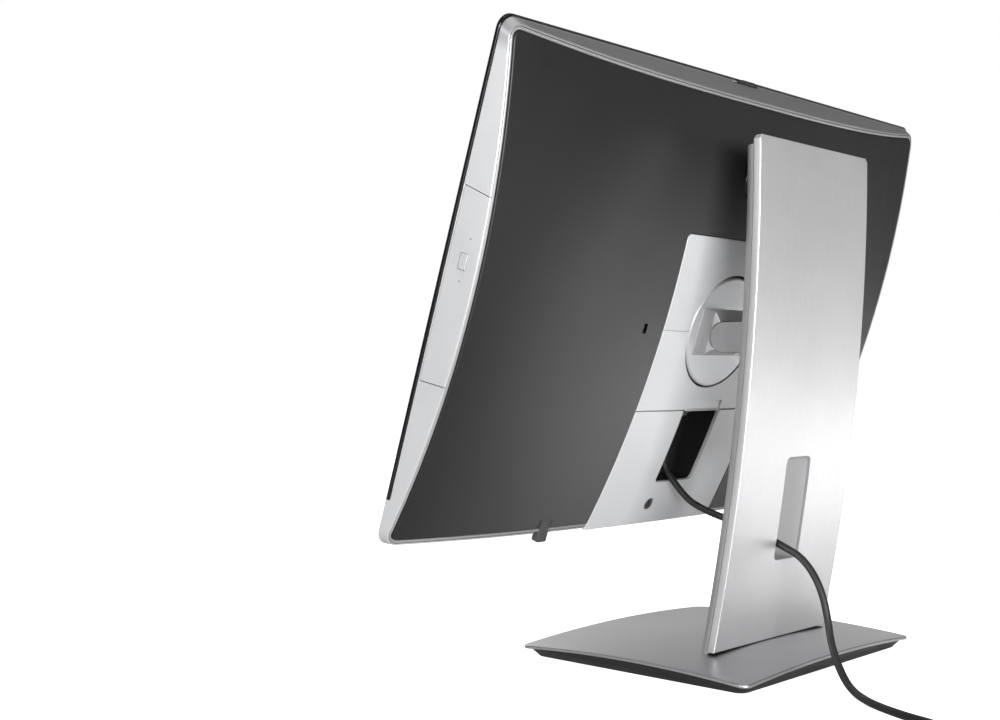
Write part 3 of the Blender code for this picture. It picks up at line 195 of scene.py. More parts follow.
def smooth(mesh, sharp=SHARP):
    """Smooth shading, with edges past an angle in degrees kept crisp."""
    mesh.shade_smooth()
    mesh.set_sharp_from_angle(angle=math.radians(sharp))


def piece(name, points, faces, look, body, slot=None, stands_for=(), sharp=SHARP):
    """A finished piece from its points and faces, in its look, on its CAD body."""
    made = closed_object(name, points, faces)
    smooth(made.data, sharp)
    made.data.materials.append(look)
    if stands_for:
        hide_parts(*stands_for)
    if body:
        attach(made, body)
    return made


def skin(sections, closed_path=False):
    """Faces round closed sections (stations, points round, 3), with an end face at either end."""
    stations, around = sections.shape[:2]
    faces = grid_faces(stations, around, closed_path, True)
    if not closed_path:
        faces.append(list(range(around)))
        faces.append([(stations - 1) * around + place for place in range(around)])
    return faces


def swept(name, sections, look, body, closed_path=False, **rest):
    """A piece made of closed sections carried along a path, or round a closed one."""
    return piece(name, sections, skin(sections, closed_path), look, body, **rest)


def tool_from(sections):
    """A cutting tool made of closed sections carried along a path."""
    return closed_object("tool", sections, skin(sections))


def prism(outline, span, place):
    """A cutting tool: an outline carried from one depth to another."""
    outline = np.asarray(outline, float)
    rings = [place(outline[:, 0], np.full(len(outline), depth), outline[:, 1]) for depth in span]
    return tool_from(np.stack(rings))


def carve(target, tools):
    """Takes each tool, a closed mesh, out of a piece, for good."""
    for tool in tools:
        modifier = target.modifiers.new("carve", "BOOLEAN")
        modifier.operation = "DIFFERENCE"
        modifier.solver = "EXACT"
        modifier.object = tool
    graph = bpy.context.evaluated_depsgraph_get()
    mesh = bpy.data.meshes.new_from_object(target.evaluated_get(graph))
    target.modifiers.clear()
    looks = list(target.data.materials)
    target.data = mesh
    mesh.materials.clear()
    for look in looks:
        mesh.materials.append(look)
    mesh.polygons.foreach_set("material_index", np.zeros(len(mesh.polygons), np.int32))
    smooth(mesh)
    for tool in tools:
        bpy.data.objects.remove(tool)
    return target


def rounded(x, z, radius, step=0.006, corner_steps=8):
    """Closed rounded rectangle, anticlockwise from the lower right: quarter circles joined by straight
    runs. The radius is one value, or one each for lower right, upper right, upper left, lower left."""
    radii = np.broadcast_to(radius, 4)
    corners = [(x[1], z[0], -90), (x[1], z[1], 0), (x[0], z[1], 90), (x[0], z[0], 180)]
    signs = [(-1, 1), (-1, -1), (1, -1), (1, 1)]
    points = []
    for (corner_x, corner_z, start), (to_x, to_z), size in zip(corners, signs, radii):
        angle = np.radians(start + np.linspace(0, 90, corner_steps + 1)) if size > 0 else np.zeros(1)
        points.append(np.column_stack([corner_x + size * (to_x + np.cos(angle)),
                                       corner_z + size * (to_z + np.sin(angle))]))
    return filled_in(np.concatenate(points), step)


def rectangle(x, z):
    """The four corners of an upright rectangle."""
    return np.array([(x[0], z[0]), (x[1], z[0]), (x[1], z[1]), (x[0], z[1])])


def filled_in(outline, step):
    """The closed outline with its long edges cut into equal lengths of about a step."""
    ahead = np.roll(outline, -1, 0)
    counts = np.maximum(1, np.round(np.linalg.norm(ahead - outline, axis=1) / step)).astype(int)
    runs = [start + (end - start) * np.linspace(0, 1, count, endpoint=False)[:, None]
            for start, end, count in zip(outline, ahead, counts)]
    return np.concatenate(runs)


def outward(outline):
    """Unit normals of a closed outline, pointing away from its middle."""
    along = np.roll(outline, -1, 0) - np.roll(outline, 1, 0)
    normal = np.column_stack([along[:, 1], -along[:, 0]])
    normal /= np.linalg.norm(normal, axis=1)[:, None]
    away = outline - outline.mean(0)
    return normal * np.sign((normal * away).sum(1).sum())


def circle(radius, centre=(0, 0), sides=72):
    """Points evenly spaced round a circle."""
    angle = np.linspace(0, 2 * math.pi, sides, endpoint=False)
    return np.column_stack([centre[0] + radius * np.cos(angle), centre[1] + radius * np.sin(angle)])


def level(depth):
    """A flat surface at one depth."""
    return lambda a, b: np.full(np.shape(a), depth)


def plate(name, outline, surface, thick, rim, look, body, place=in_head, rows=14, flange=None, **rest):
    """A plate under a surface: its points run from the middle out to the outline, over a rim of
    quarter-circle section, down the wall and back to the middle underneath. With a flange, the
    wall reaches further down than the plate is thick and is as wide as the plate is thick."""
    centre = outline.mean(0)
    normal = outward(outline)
    quarter = np.radians(np.linspace(0, 90, 6))
    top_edge = [(rim * 1.3, 0.0)] + [(rim * (1 - math.sin(a)), rim * (1 - math.cos(a))) for a in quarter]
    wall = flange or thick
    foot = min(rim, thick * 0.4)
    foot_edge = [(foot * (1 - math.cos(a)), wall - foot * (1 - math.sin(a))) for a in quarter]
    shares = np.linspace(0, 1, rows)[1:-1]

    def ring(inset):
        return outline - normal * inset

    def inner(share, inset):
        return centre + (ring(inset) - centre) * share

    levels = [(inner(share, rim * 2.2), 0.0) for share in shares]
    levels += [(ring(rim * 2.2), 0.0)] + [(ring(inset), drop) for inset, drop in top_edge + foot_edge]
    if flange:
        levels += [(ring(thick), wall), (ring(thick), thick)]
        levels += [(inner(share, thick), thick) for share in shares[::-1]]
    else:
        levels += [(inner(share, foot * 1.5), thick) for share in shares[::-1]]
    flat = np.stack([level for level, _ in levels])
    drop = np.array([drop for _, drop in levels])[:, None]
    depth = surface(flat[..., 0], flat[..., 1]) - drop
    points = place(flat[..., 0], depth, flat[..., 1])
    middles = [place(np.array([centre[0]]), surface(*centre[:, None]) - d, np.array([centre[1]]))[0]
               for d in (0.0, thick)]
    count, around = points.shape[:2]
    faces = grid_faces(count, around, False, True)
    first, last = count * around, count * around + 1
    step = np.arange(around)
    after = (step + 1) % around
    faces += np.column_stack([step, after, np.full(around, first)]).tolist()
    faces += np.column_stack([step + (count - 1) * around, after + (count - 1) * around,
                              np.full(around, last)]).tolist()
    everything = np.concatenate([points.reshape(-1, 3), np.array(middles)])
    return piece(name, everything, faces, look, body, **rest)


def turned(name, profile, origin, axis, look, body, sides=64, **rest):
    """A profile of (radius, distance along the axis) turned round the axis; ends on the axis close it."""
    axis = np.asarray(axis, float) / np.linalg.norm(axis)
    across = np.cross(axis, [0.3, 0.9, 0.4])
    across /= np.linalg.norm(across)
    other = np.cross(axis, across)
    profile = np.asarray(profile, float)
    angle = np.linspace(0, 2 * math.pi, sides, endpoint=False)
    round_it = np.cos(angle)[:, None] * across + np.sin(angle)[:, None] * other
    rings = (np.asarray(origin) + profile[:, 1][:, None, None] * axis
             + profile[:, 0][:, None, None] * round_it[None])
    return swept(name, rings, look, body, **rest)


def soft_profile(radius, span, rim):
    """Profile of a short cylinder with quarter-circle end edges, from the lower end to the upper."""
    quarter = np.radians(np.linspace(0, 90, 6))
    low = [(radius - rim + rim * math.sin(a), span[0] + rim - rim * math.cos(a)) for a in quarter]
    high = [(radius - rim + rim * math.cos(a), span[1] - rim + rim * math.sin(a)) for a in quarter]
    return [(0.00005, span[0])] + low + high + [(0.00005, span[1])]


def block(name, low, high, rim, look, body, place=in_head, **rest):
    """A box between two corners in the frame of place (x, depth, height), with rounded edges."""
    corner = min(rim * 1.5, (high[0] - low[0]) / 3, (high[2] - low[2]) / 3)
    outline = rounded((low[0], high[0]), (low[2], high[2]), corner, 0.02, 4)
    return plate(name, outline, level(high[1]), high[1] - low[1], rim, look, body, place, rows=3, **rest)


# ---- effects shared by the materials -------------------------------------------------------------
class Group:
    """A shader node group being wired: named sockets in and out, nodes added in turn."""

    def __init__(self, name, inputs, outputs):
        self.tree = bpy.data.node_groups.new(name, "ShaderNodeTree")
        for title, kind, value in inputs:
            socket = self.tree.interface.new_socket(title, in_out="INPUT", socket_type="NodeSocket" + kind)
            if value is not None:
                socket.default_value = value
        for title, kind in outputs:
            self.tree.interface.new_socket(title, in_out="OUTPUT", socket_type="NodeSocket" + kind)
        self.source = self.tree.nodes.new("NodeGroupInput")
        self.sink = self.tree.nodes.new("NodeGroupOutput")

    def node(self, kind, values=None, **settings):
        return add_node(self.tree, kind, values, **settings)

    def link(self, a, b):
        self.tree.links.new(a, b)


def add_node(tree, kind, values=None, **settings):
    """A node with its settings, and its input sockets set or linked by name or number."""
    made = tree.nodes.new("ShaderNode" + kind)
    for key, value in settings.items():
        setattr(made, key, value)
    fill_sockets(tree, made, values or {})
    return made


def fill_sockets(tree, made, values):
    """Links a node's input socket where its value is a socket, and sets it where it isn't."""
    for key, value in values.items():
        socket = made.inputs[key]
        if isinstance(value, bpy.types.NodeSocket):
            tree.links.new(value, socket)
        else:
            socket.default_value = value


def grain_group():
    """Moulded or painted grain: fine bumps, with slow drifts of tone and gloss over the surface."""
    group = Group("surface_grain", [("Vector", "Vector", None), ("Scale", "Float", 900.0)],
                  [("Height", "Float"), ("Tone", "Float"), ("Gloss", "Float")])
    vector = group.source.outputs["Vector"]
    fine = group.node("TexNoise", {"Vector": vector, "Scale": group.source.outputs["Scale"], "Detail": 3.0})
    slow = group.node("TexNoise", {"Vector": vector, "Scale": 7.0, "Detail": 4.0, "Roughness": 0.55})
    smear = group.node("TexNoise", {"Vector": vector, "Scale": 28.0, "Detail": 5.0, "Distortion": 1.4})
    tone = group.node("MapRange", {"Value": slow.outputs[0], "From Min": 0.25, "From Max": 0.75,
                                   "To Min": 0.955, "To Max": 1.045})
    gloss = group.node("MapRange", {"Value": smear.outputs[0], "From Min": 0.3, "From Max": 0.7,
                                    "To Min": -0.5, "To Max": 0.5})
    group.link(fine.outputs[0], group.sink.inputs["Height"])
    group.link(tone.outputs[0], group.sink.inputs["Tone"])
    group.link(gloss.outputs[0], group.sink.inputs["Gloss"])
    return group.tree


def brushing_group():
    """Brushed metal: long thin streaks along one axis, as height, tone and gloss."""
    group = Group("brushing", [("Vector", "Vector", None), ("Stretch", "Vector", (3.0, 900.0, 900.0))],
                  [("Height", "Float"), ("Tone", "Float"), ("Gloss", "Float")])
    drawn = group.node("VectorMath", {0: group.source.outputs["Vector"], 1: group.source.outputs["Stretch"]},
                       operation="MULTIPLY")
    streak = group.node("TexNoise", {"Vector": drawn.outputs[0], "Scale": 1.0, "Detail": 6.0, "Roughness": 0.7})
    cloud = group.node("TexNoise", {"Vector": group.source.outputs["Vector"], "Scale": 9.0, "Detail": 3.0})
    mixed = group.node("Math", {0: streak.outputs[0], 1: cloud.outputs[0]}, operation="ADD")
    tone = group.node("MapRange", {"Value": mixed.outputs[0], "From Min": 0.7, "From Max": 1.3,
                                   "To Min": 0.93, "To Max": 1.07})
    gloss = group.node("MapRange", {"Value": streak.outputs[0], "From Min": 0.3, "From Max": 0.7,
                                    "To Min": -0.5, "To Max": 0.5})
    group.link(streak.outputs[0], group.sink.inputs["Height"])
    group.link(tone.outputs[0], group.sink.inputs["Tone"])
    group.link(gloss.outputs[0], group.sink.inputs["Gloss"])
    return group.tree


def perforation_group():
    """Rows of small round holes: 1 inside a hole and 0 between, on the two given axes."""
    group = Group("perforation", [("Across", "Float", 0.0), ("Along", "Float", 0.0),
                                  ("Pitch", "Float", 0.0022), ("Hole", "Float", 0.32)],
                  [("Mask", "Float")])
    cells = []
    for title in ("Across", "Along"):
        share = group.node("Math", {0: group.source.outputs[title], 1: group.source.outputs["Pitch"]},
                           operation="DIVIDE")
        part = group.node("Math", {0: share.outputs[0], 1: 1.0}, operation="FLOORED_MODULO")
        cells.append(group.node("Math", {0: part.outputs[0], 1: 0.5}, operation="SUBTRACT").outputs[0])
    joined = group.node("CombineXYZ", {"X": cells[0], "Y": cells[1]})
    reach = group.node("VectorMath", {0: joined.outputs[0]}, operation="LENGTH")
    mask = group.node("Math", {0: group.source.outputs["Hole"], 1: reach.outputs["Value"]},
                      operation="GREATER_THAN")
    group.link(mask.outputs[0], group.sink.inputs["Mask"])
    return group.tree


GRAIN = grain_group()
BRUSHING = brushing_group()
PERFORATION = perforation_group()


# ---- materials -----------------------------------------------------------------------------------
class Finish:
    """A material being wired, with its coordinates in the head's frame or the base's."""

    def __init__(self, name, colour, roughness, metallic=0.0, head=True):
        self.material = bpy.data.materials.new(name)
        self.material.use_nodes = True
        self.tree = self.material.node_tree
        self.shader = self.tree.nodes["Principled BSDF"]
        self.colour = (*colour, 1.0)
        self.shader.inputs["Base Color"].default_value = self.colour
        self.shader.inputs["Roughness"].default_value = roughness
        self.shader.inputs["Metallic"].default_value = metallic
        self.roughness = roughness
        place = self.node("TexCoord")
        self.vector = place.outputs["Object"]
        if head:
            moved = self.node("VectorMath", {0: self.vector, 1: tuple(HEAD_CENTRE)}, operation="SUBTRACT")
            turned_back = self.node("Mapping", {"Vector": moved.outputs[0], "Rotation": (HEAD_TILT, 0, 0)})
            self.vector = turned_back.outputs[0]

    def node(self, kind, values=None, **settings):
        return add_node(self.tree, kind, values, **settings)

    def group(self, tree, values):
        """A shared effect placed in this material."""
        made = self.node("Group", None, node_tree=tree)
        fill_sockets(self.tree, made, values)
        return made

    def surface(self, effect, bump, distance, gloss=0.06):
        """Feeds an effect's tone, gloss and height to the shader."""
        tinted = self.node("VectorMath", {0: self.colour[:3], "Scale": effect.outputs["Tone"]},
                           operation="SCALE")
        self.base = tinted.outputs[0]
        rough = self.node("Math", {0: effect.outputs["Gloss"], 1: gloss, 2: self.roughness},
                          operation="MULTIPLY_ADD")
        bumps = self.node("Bump", {"Height": effect.outputs["Height"], "Strength": bump, "Distance": distance})
        self.link(self.base, "Base Color")
        self.link(rough.outputs[0], "Roughness")
        self.link(bumps.outputs[0], "Normal")
        return self

    def tint(self, mask, colour):
        """Lays a second colour, a value or a socket, over the first where the mask is 1."""
        mixed = self.node("Mix", {0: mask, 4: self.base, 5: colour}, data_type="VECTOR")
        self.base = mixed.outputs[1]
        self.link(self.base, "Base Color")
        return self

    def axes(self):
        """The three coordinates, one socket each."""
        return self.node("SeparateXYZ", {0: self.vector}).outputs

    def inside(self, value, low, high):
        """1 where the value lies between the two bounds."""
        above = self.node("Math", {0: value, 1: low}, operation="GREATER_THAN")
        below = self.node("Math", {0: value, 1: high}, operation="LESS_THAN")
        return self.both(above.outputs[0], below.outputs[0])

    def both(self, a, b):
        """The product of two masks."""
        return self.node("Math", {0: a, 1: b}, operation="MULTIPLY").outputs[0]

    def reach(self, across, up):
        """Distance from the origin of the plane of two coordinates."""
        place = self.node("CombineXYZ", {"X": across, "Y": up})
        return self.node("VectorMath", {0: place.outputs[0]}, operation="LENGTH").outputs["Value"]

    def link(self, value, title):
        self.tree.links.new(value, self.shader.inputs[title])

    def setting(self, **values):
        for key, value in values.items():
            self.shader.inputs[key.replace("_", " ")].default_value = value
        return self


def moulded(name, colour, roughness, metallic=0.0, scale=900.0, bump=0.12, gloss=0.08, head=True, **more):
    """Moulded plastic, rubber or paint with fine grain."""
    made = Finish(name, colour, roughness, metallic, head)
    effect = made.group(GRAIN, {"Vector": made.vector, "Scale": scale})
    made.surface(effect, bump, 0.0004, gloss).setting(**more)
    return made


def brushed(name, colour, roughness, stretch, bump=0.05, metallic=1.0, head=False, **more):
    """Brushed metal with its streaks along the axis that is stretched least."""
    made = Finish(name, colour, roughness, metallic, head)
    effect = made.group(BRUSHING, {"Vector": made.vector, "Stretch": stretch})
    made.surface(effect, bump, 0.0003, 0.10).setting(**more)
    return made




VENT_HEIGHT = (0.166, 0.1825)
VENT_REACH = 0.262
VENT_FRONT = 0.0062
VENT_REAR = 0.0285
COVER_DARK = (0.011, 0.011, 0.0113)
# painted sheen: the lighter colour laid over the charcoal in an oval low on the cover
COVER_PAINTED_SHEEN = (0.090, 0.090, 0.0915)


def band_silver():
    """Silver paint of the band. Its top is darker, a painted shade for the weaker light that falls on it, and
    has rows of vent holes between the front edge and a power curve that follows the rounded back."""
    made = moulded("band_silver", (0.60, 0.605, 0.615), 0.34, 0.55, 1400.0, 0.05, 0.05)
    x, depth, height = made.axes()
    holes = made.group(PERFORATION, {"Across": x, "Along": depth, "Pitch": 0.0019, "Hole": 0.30})
    on_top = made.both(made.inside(height, *VENT_HEIGHT), made.inside(x, -VENT_REACH, VENT_REACH))
    from_middle = made.node("Math", {0: x}, operation="ABSOLUTE")
    share = made.node("Math", {0: from_middle.outputs[0], 1: 1 / HALF_WIDTH}, operation="MULTIPLY")
    bent = made.node("Math", {0: share.outputs[0], 1: SIDE_POWER}, operation="POWER")
    rear = made.node("Math", {0: bent.outputs[0], 1: -DEPTH_LOSS_SIDE, 2: VENT_REAR}, operation="MULTIPLY_ADD")
    vented = made.both(on_top, made.inside(depth, VENT_FRONT, rear.outputs[0]))
    made.tint(made.both(vented, holes.outputs[0]), (0.05, 0.05, 0.051))
    # painted shade: above this height the band's top takes 0.62 of its colour
    top = made.node("MapRange", {"Value": height, "From Min": 0.160, "From Max": 0.168})
    painted_top_shade = made.node("VectorMath", {0: made.base, 1: (0.62, 0.62, 0.62)}, operation="MULTIPLY")
    made.tint(top.outputs[0], painted_top_shade.outputs[0])
    return made.material


def cover_charcoal():
    """Charcoal paint with fine grain and a painted sheen: lightest in an oval low on the cover, standing in for
    a soft reflection of the lamps, and darker away from it.
    """
    made = moulded("cover_charcoal", COVER_DARK, 0.42, 0.0, 1500.0, 0.10, 0.06, Specular_IOR_Level=0.40)
    x, _, height = made.axes()
    # painted sheen: an oval mask lays the lighter colour over the charcoal, as a reflection would light it
    across = made.node("Math", {0: x, 1: 1 / 0.24, 2: -0.17}, operation="MULTIPLY_ADD")
    up = made.node("Math", {0: height, 1: 1 / 0.27, 2: 0.36}, operation="MULTIPLY_ADD")
    oval = made.reach(across.outputs[0], up.outputs[0])
    middle = made.node("MapRange", {"Value": oval, "From Min": 1.05, "From Max": 0.15},
                       interpolation_type="SMOOTHSTEP")
    made.tint(middle.outputs[0], COVER_PAINTED_SHEEN)
    return made.material


def screen_black():
    """Black border and the display area behind the glass, a little lighter."""
    made = moulded("screen_black", (0.004, 0.004, 0.005), 0.05, 0.0, 60.0, 0.004, 0.02, Coat_Weight=0.4)
    x, _, height = made.axes()
    area = made.both(made.inside(x, -0.2545, 0.2545), made.inside(height, -0.1325, 0.1535))
    made.tint(area, (0.010, 0.011, 0.013))
    return made.material


def grille_black():
    """Perforated speaker strip."""
    made = moulded("grille_black", (0.10, 0.10, 0.105), 0.45, 0.6, 900.0, 0.05)
    x, _, height = made.axes()
    holes = made.group(PERFORATION, {"Across": x, "Along": height, "Pitch": 0.0016, "Hole": 0.34})
    made.tint(holes.outputs[0], (0.006, 0.006, 0.006))
    return made.material


def board_green():
    """Solder mask with rows of small parts."""
    made = moulded("board_green", (0.015, 0.09, 0.045), 0.42, 0.0, 500.0, 0.05)
    bricks = made.node("TexBrick", {"Vector": made.vector, "Scale": 90.0, "Mortar Size": 0.03})
    made.tint(bricks.outputs["Fac"], (0.05, 0.16, 0.07))
    return made.material


def disc_light():
    """The light plastic of the panel, with painted shade on the disc's side below its bevel, where the groove
    round the disc lies in shadow.
    """
    made = moulded("disc_face", (0.62, 0.625, 0.635), 0.34, 0.25, 1500.0, 0.05, 0.05)
    x, _, height = made.axes()
    raised = made.node("Math", {0: height, 1: PIVOT_DROP}, operation="ADD")
    # painted shade: near-black on the disc's side, past the bevel, for the shadowed groove
    edge = made.node("MapRange", {"Value": made.reach(x, raised.outputs[0]), "From Min": DISC_RADIUS - 0.0007,
                                  "From Max": DISC_RADIUS - 0.0002})
    made.tint(edge.outputs[0], (0.06, 0.06, 0.061))
    return made.material


def in_base_look(*values, **more):
    """A moulded material that reads the base's own coordinates."""
    return moulded(*values, head=False, **more).material


LOOKS = {
    "cover": cover_charcoal(),
    "band": band_silver(),
    # painted highlight: grey for the light caught on the cover's rounded edge
    "lip": moulded("lip_painted_highlight", (0.30, 0.30, 0.303), 0.34, 0.3, 1500.0, 0.04, 0.05).material,
    "shield": moulded("shield_light", (0.62, 0.625, 0.635), 0.36, 0.1, 1500.0, 0.05, 0.05).material,
    "disc": disc_light(),
    "hinge": moulded("hinge_grey", (0.52, 0.52, 0.53), 0.36, 0.35, 1100.0, 0.08, 0.07).material,
    "arm": in_base_look("arm_grey", (0.36, 0.36, 0.365), 0.38, 0.4, 1100.0, 0.08, 0.07),
    "badge": moulded("badge_gloss", (0.010, 0.010, 0.011), 0.12, 0.0, 200.0, 0.01, 0.03,
                     Coat_Weight=0.6).material,
    "screw": moulded("screw_dark", (0.055, 0.055, 0.057), 0.35, 0.6, 700.0, 0.05).material,
    "bay": moulded("bay_black", (0.010, 0.010, 0.0105), 0.5, 0.0, 800.0, 0.15).material,
    "sleeve": moulded("sleeve_rubber", (0.016, 0.016, 0.017), 0.6, 0.0, 500.0, 0.15).material,
    "tongue": moulded("tongue_dark", (0.02, 0.022, 0.03), 0.4).material,
    "screen": screen_black(),
    "grille": grille_black(),
    "key": moulded("disc_light", (0.62, 0.625, 0.635), 0.34, 0.35, 1500.0, 0.05, 0.05).material,
    "eye_ring": moulded("ring_grey", (0.05, 0.05, 0.052), 0.3).material,
    "lens": moulded("lens_glass", (0.01, 0.011, 0.016), 0.04, 0.0, 40.0, 0.002, 0.01, Coat_Weight=1.0).material,
    "drive_light": moulded("light_window", (0.20, 0.30, 0.22), 0.25, Coat_Weight=0.5).material,
    "black": moulded("plastic_black", (0.014, 0.014, 0.015), 0.42).material,
    # painted shade: near-black for sheets and rings put behind seams, holes, gaps and grooves
    "dark": moulded("recess_painted_shade", (0.004, 0.004, 0.004), 0.6).material,
    "panel_back": moulded("panel_back", (0.30, 0.30, 0.31), 0.4, 0.8).material,
    "board": board_green(),
    "cast": moulded("cast_metal", (0.42, 0.42, 0.43), 0.44, 0.9, 700.0, 0.16).material,
    "steel": brushed("plain_steel", (0.45, 0.45, 0.47), 0.34, (8.0, 700.0, 700.0), 0.05).material,
    "column": brushed("column_aluminium", (0.68, 0.68, 0.69), 0.40, (900.0, 900.0, 6.0), 0.03, 0.72).material,
    "grey": in_base_look("column_grey", (0.40, 0.40, 0.405), 0.40, 0.3, 1300.0, 0.07, 0.06),
    "liner": in_base_look("liner_grey", (0.42, 0.42, 0.425), 0.5, 0.0, 1300.0, 0.07),
    "plate": brushed("plate_aluminium", (0.52, 0.52, 0.53), 0.34, (5.0, 1100.0, 400.0), 0.05, 0.95).material,
    "pan": in_base_look("pan_black", (0.010, 0.010, 0.011), 0.38),
    "contact_shadow": in_base_look("contact_painted_shadow", (0.006, 0.006, 0.006), 0.6),
    # painted shadow where the column stands on the plate
    "rubber": in_base_look("foot_rubber", (0.018, 0.018, 0.018), 0.72, 0.0, 500.0, 0.2),
    "pin": in_base_look("pin_metal", (0.72, 0.70, 0.62), 0.20, 1.0, 500.0, 0.02),
    "tie": in_base_look("tie_black", (0.02, 0.02, 0.021), 0.30),
    "lead": in_base_look("lead_rubber", (0.013, 0.013, 0.014), 0.46, 0.0, 700.0, 0.10, 0.10),
}


# ---- mains lead ----------------------------------------------------------------------------------
CORD_DIAMETER = 0.0055
TABLE = CORD_DIAMETER / 2
COIL_LOW, COIL_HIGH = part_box("cord_coil")
COIL_CENTRE = np.array((COIL_LOW + COIL_HIGH) / 2)
COIL_OUTER = (COIL_HIGH.x - COIL_LOW.x) / 2
COIL_MIDDLE_RADIUS = COIL_OUTER - 1.5 * CORD_DIAMETER
RELIEF_X = 0.003                    # the strain relief, in the head's frame
RELIEF_DEPTH = 0.0235
RELIEF_HEAD = -0.0863
RELIEF_FOOT = -0.1145
RELIEF_STRAIGHT = 0.002
RELIEF_ARC = 0.020
TURNS_WOUND = 7 + 1 / 3
STEPS_A_TURN = 120
LEAD_STEP = 0.002
ROUTE = [
    (0.0035, -0.0275, 0.1215),
    (0.0060, -0.0080, 0.1135),
    (0.0080, 0.0130, 0.1082),
    (0.0100, 0.0340, 0.1035),
    (0.0115, 0.0520, 0.0970),
    (0.0125, 0.0679, 0.0910),
    (0.0130, 0.0815, 0.0845),
    (0.0135, 0.0930, 0.0725),
    (0.0145, 0.1010, 0.0570),
    (0.0165, 0.1060, 0.0410),
    (0.0215, 0.1115, 0.0270),
    (0.0320, 0.1225, 0.0145),
    (0.0480, 0.1385, 0.0060),
    (0.0640, 0.1560, TABLE),
    (0.0790, 0.1750, TABLE),
    (0.0915, 0.2000, TABLE),
    (0.0995, 0.2250, TABLE),
    (0.1080, 0.2510, TABLE),
    (0.1138, 0.2750, TABLE),
    (COIL_CENTRE[0] - COIL_OUTER - CORD_DIAMETER / 2 - GAP, COIL_CENTRE[1], TABLE),
]
CORD_CUTS = (0.058, 0.098, 0.150, 0.292)    # lengths along the route at which the lead changes body


def bay_bend():
    """The lead's first bend, from straight down the head to out over the bay's edge."""
    start = RELIEF_FOOT - GAP
    turn = np.radians([0, 22, 44, 62])
    depth = np.r_[RELIEF_DEPTH, RELIEF_DEPTH + RELIEF_ARC * (1 - np.cos(turn))]
    height = np.r_[start, start - RELIEF_STRAIGHT - RELIEF_ARC * np.sin(turn)]
    return in_head(np.full(5, RELIEF_X), depth, height)


def smooth_route(points, step):
    """Evenly spaced places along the Catmull-Rom curve through the points."""
    knots = np.asarray(points, float)
    knots = np.vstack([2 * knots[0] - knots[1], knots, 2 * knots[-1] - knots[-2]])
    t = np.linspace(0, 1, 60, endpoint=False)[None, :, None]
    a, b, c, d = (knots[i:len(knots) - 3 + i, None] for i in range(4))
    places = 0.5 * (2 * b + (c - a) * t + (2 * a - 5 * b + 4 * c - d) * t ** 2
                    + (3 * b - a - 3 * c + d) * t ** 3)
    places = np.vstack([places.reshape(-1, 3), knots[-2]])
    places[:, 2] = np.maximum(places[:, 2], TABLE)
    return evenly(places, step)


def evenly(places, step):
    """A path's points taken again at even steps, with the length up to each of them."""
    lengths = np.r_[0, np.cumsum(np.linalg.norm(np.diff(places, axis=0), axis=1))]
    along = np.arange(0, lengths[-1], step)
    along = np.r_[along, lengths[-1]] if lengths[-1] - along[-1] > step * 0.2 else along
    return along, between(lengths, places, along)


def between(along, places, wanted):
    """Places at the wanted lengths along a path."""
    return np.column_stack([np.interp(wanted, along, places[:, axis]) for axis in range(3)])


def smoothstep(value):
    """0 to 1 with level ends: v * v * (3 - 2 v)."""
    value = np.clip(value, 0, 1)
    return value * value * (3 - 2 * value)


def coil_turns():
    """Turns wound clockwise in layers. A turn keeps its radius, then steps over by one diameter in
    its last sixth; each layer starts where the one below ended, one diameter higher."""
    d = CORD_DIAMETER
    radii = COIL_MIDDLE_RADIUS + d * np.array([1, 0, -1, -1, 0, 1, 1, 0, -1])
    heights = TABLE + d * np.array([0, 0, 0, 1, 1, 1, 2, 2, 2])
    turns = np.arange(round(TURNS_WOUND * STEPS_A_TURN)) / STEPS_A_TURN
    whole = np.floor(turns).astype(int)
    step = smoothstep((turns - whole - 5 / 6) * 6)
    radius = radii[whole] + (radii[whole + 1] - radii[whole]) * step
    height = heights[whole] + (heights[whole + 1] - heights[whole]) * step
    arrival = smoothstep(turns / 0.35)
    radius = radius + (COIL_OUTER + d / 2 + GAP - radii[0]) * (1 - arrival)
    angle = math.pi * (1 - 2 * turns)
    return np.column_stack([COIL_CENTRE[0] + radius * np.cos(angle),
                            COIL_CENTRE[1] + radius * np.sin(angle), height])


PLUG_LOW, PLUG_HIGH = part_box("mains_plug")
PLUG_REAR = 0.004
PLUG_HALF_WIDTH = 0.013
PLUG_MIDDLE = np.array([PLUG_HIGH.x - PLUG_HALF_WIDTH, COIL_CENTRE[1] - PLUG_REAR, PLUG_HIGH.z / 2])


def plug_run(start, heading):
    """A cubic Bezier curve from the coil, in the direction it leaves, to square behind the plug."""
    end = PLUG_MIDDLE + np.array([0, 0.0005, 0])
    reach = np.linalg.norm(end - start)
    t = np.linspace(0, 1, 40)[1:, None]
    first = start + heading * reach * 0.40
    last = end + np.array([0, reach * 0.40, 0])
    return (1 - t) ** 3 * start + 3 * (1 - t) ** 2 * t * first + 3 * (1 - t) * t ** 2 * last + t ** 3 * end


def tube(name, places):
    """A round tube along places: circles square to the path, carried forward without twist."""
    places = np.asarray(places, float)
    along = np.gradient(places, axis=0)
    along /= np.linalg.norm(along, axis=1)[:, None]
    side = np.cross(along[0], [0.0, 0.3, 1.0])
    sides = [side / np.linalg.norm(side)]
    for direction in along[1:]:
        side = sides[-1] - direction * sides[-1].dot(direction)
        sides.append(side / np.linalg.norm(side))
    sides = np.array(sides)
    others = np.cross(along, sides)
    angle = np.linspace(0, 2 * math.pi, 16, endpoint=False)
    ring = (np.cos(angle)[None, :, None] * sides[:, None] + np.sin(angle)[None, :, None] * others[:, None])
    sections = places[:, None] + ring * CORD_DIAMETER / 2
    return swept(name, sections, LOOKS["lead"], None, sharp=60, slot="lead_jacket")


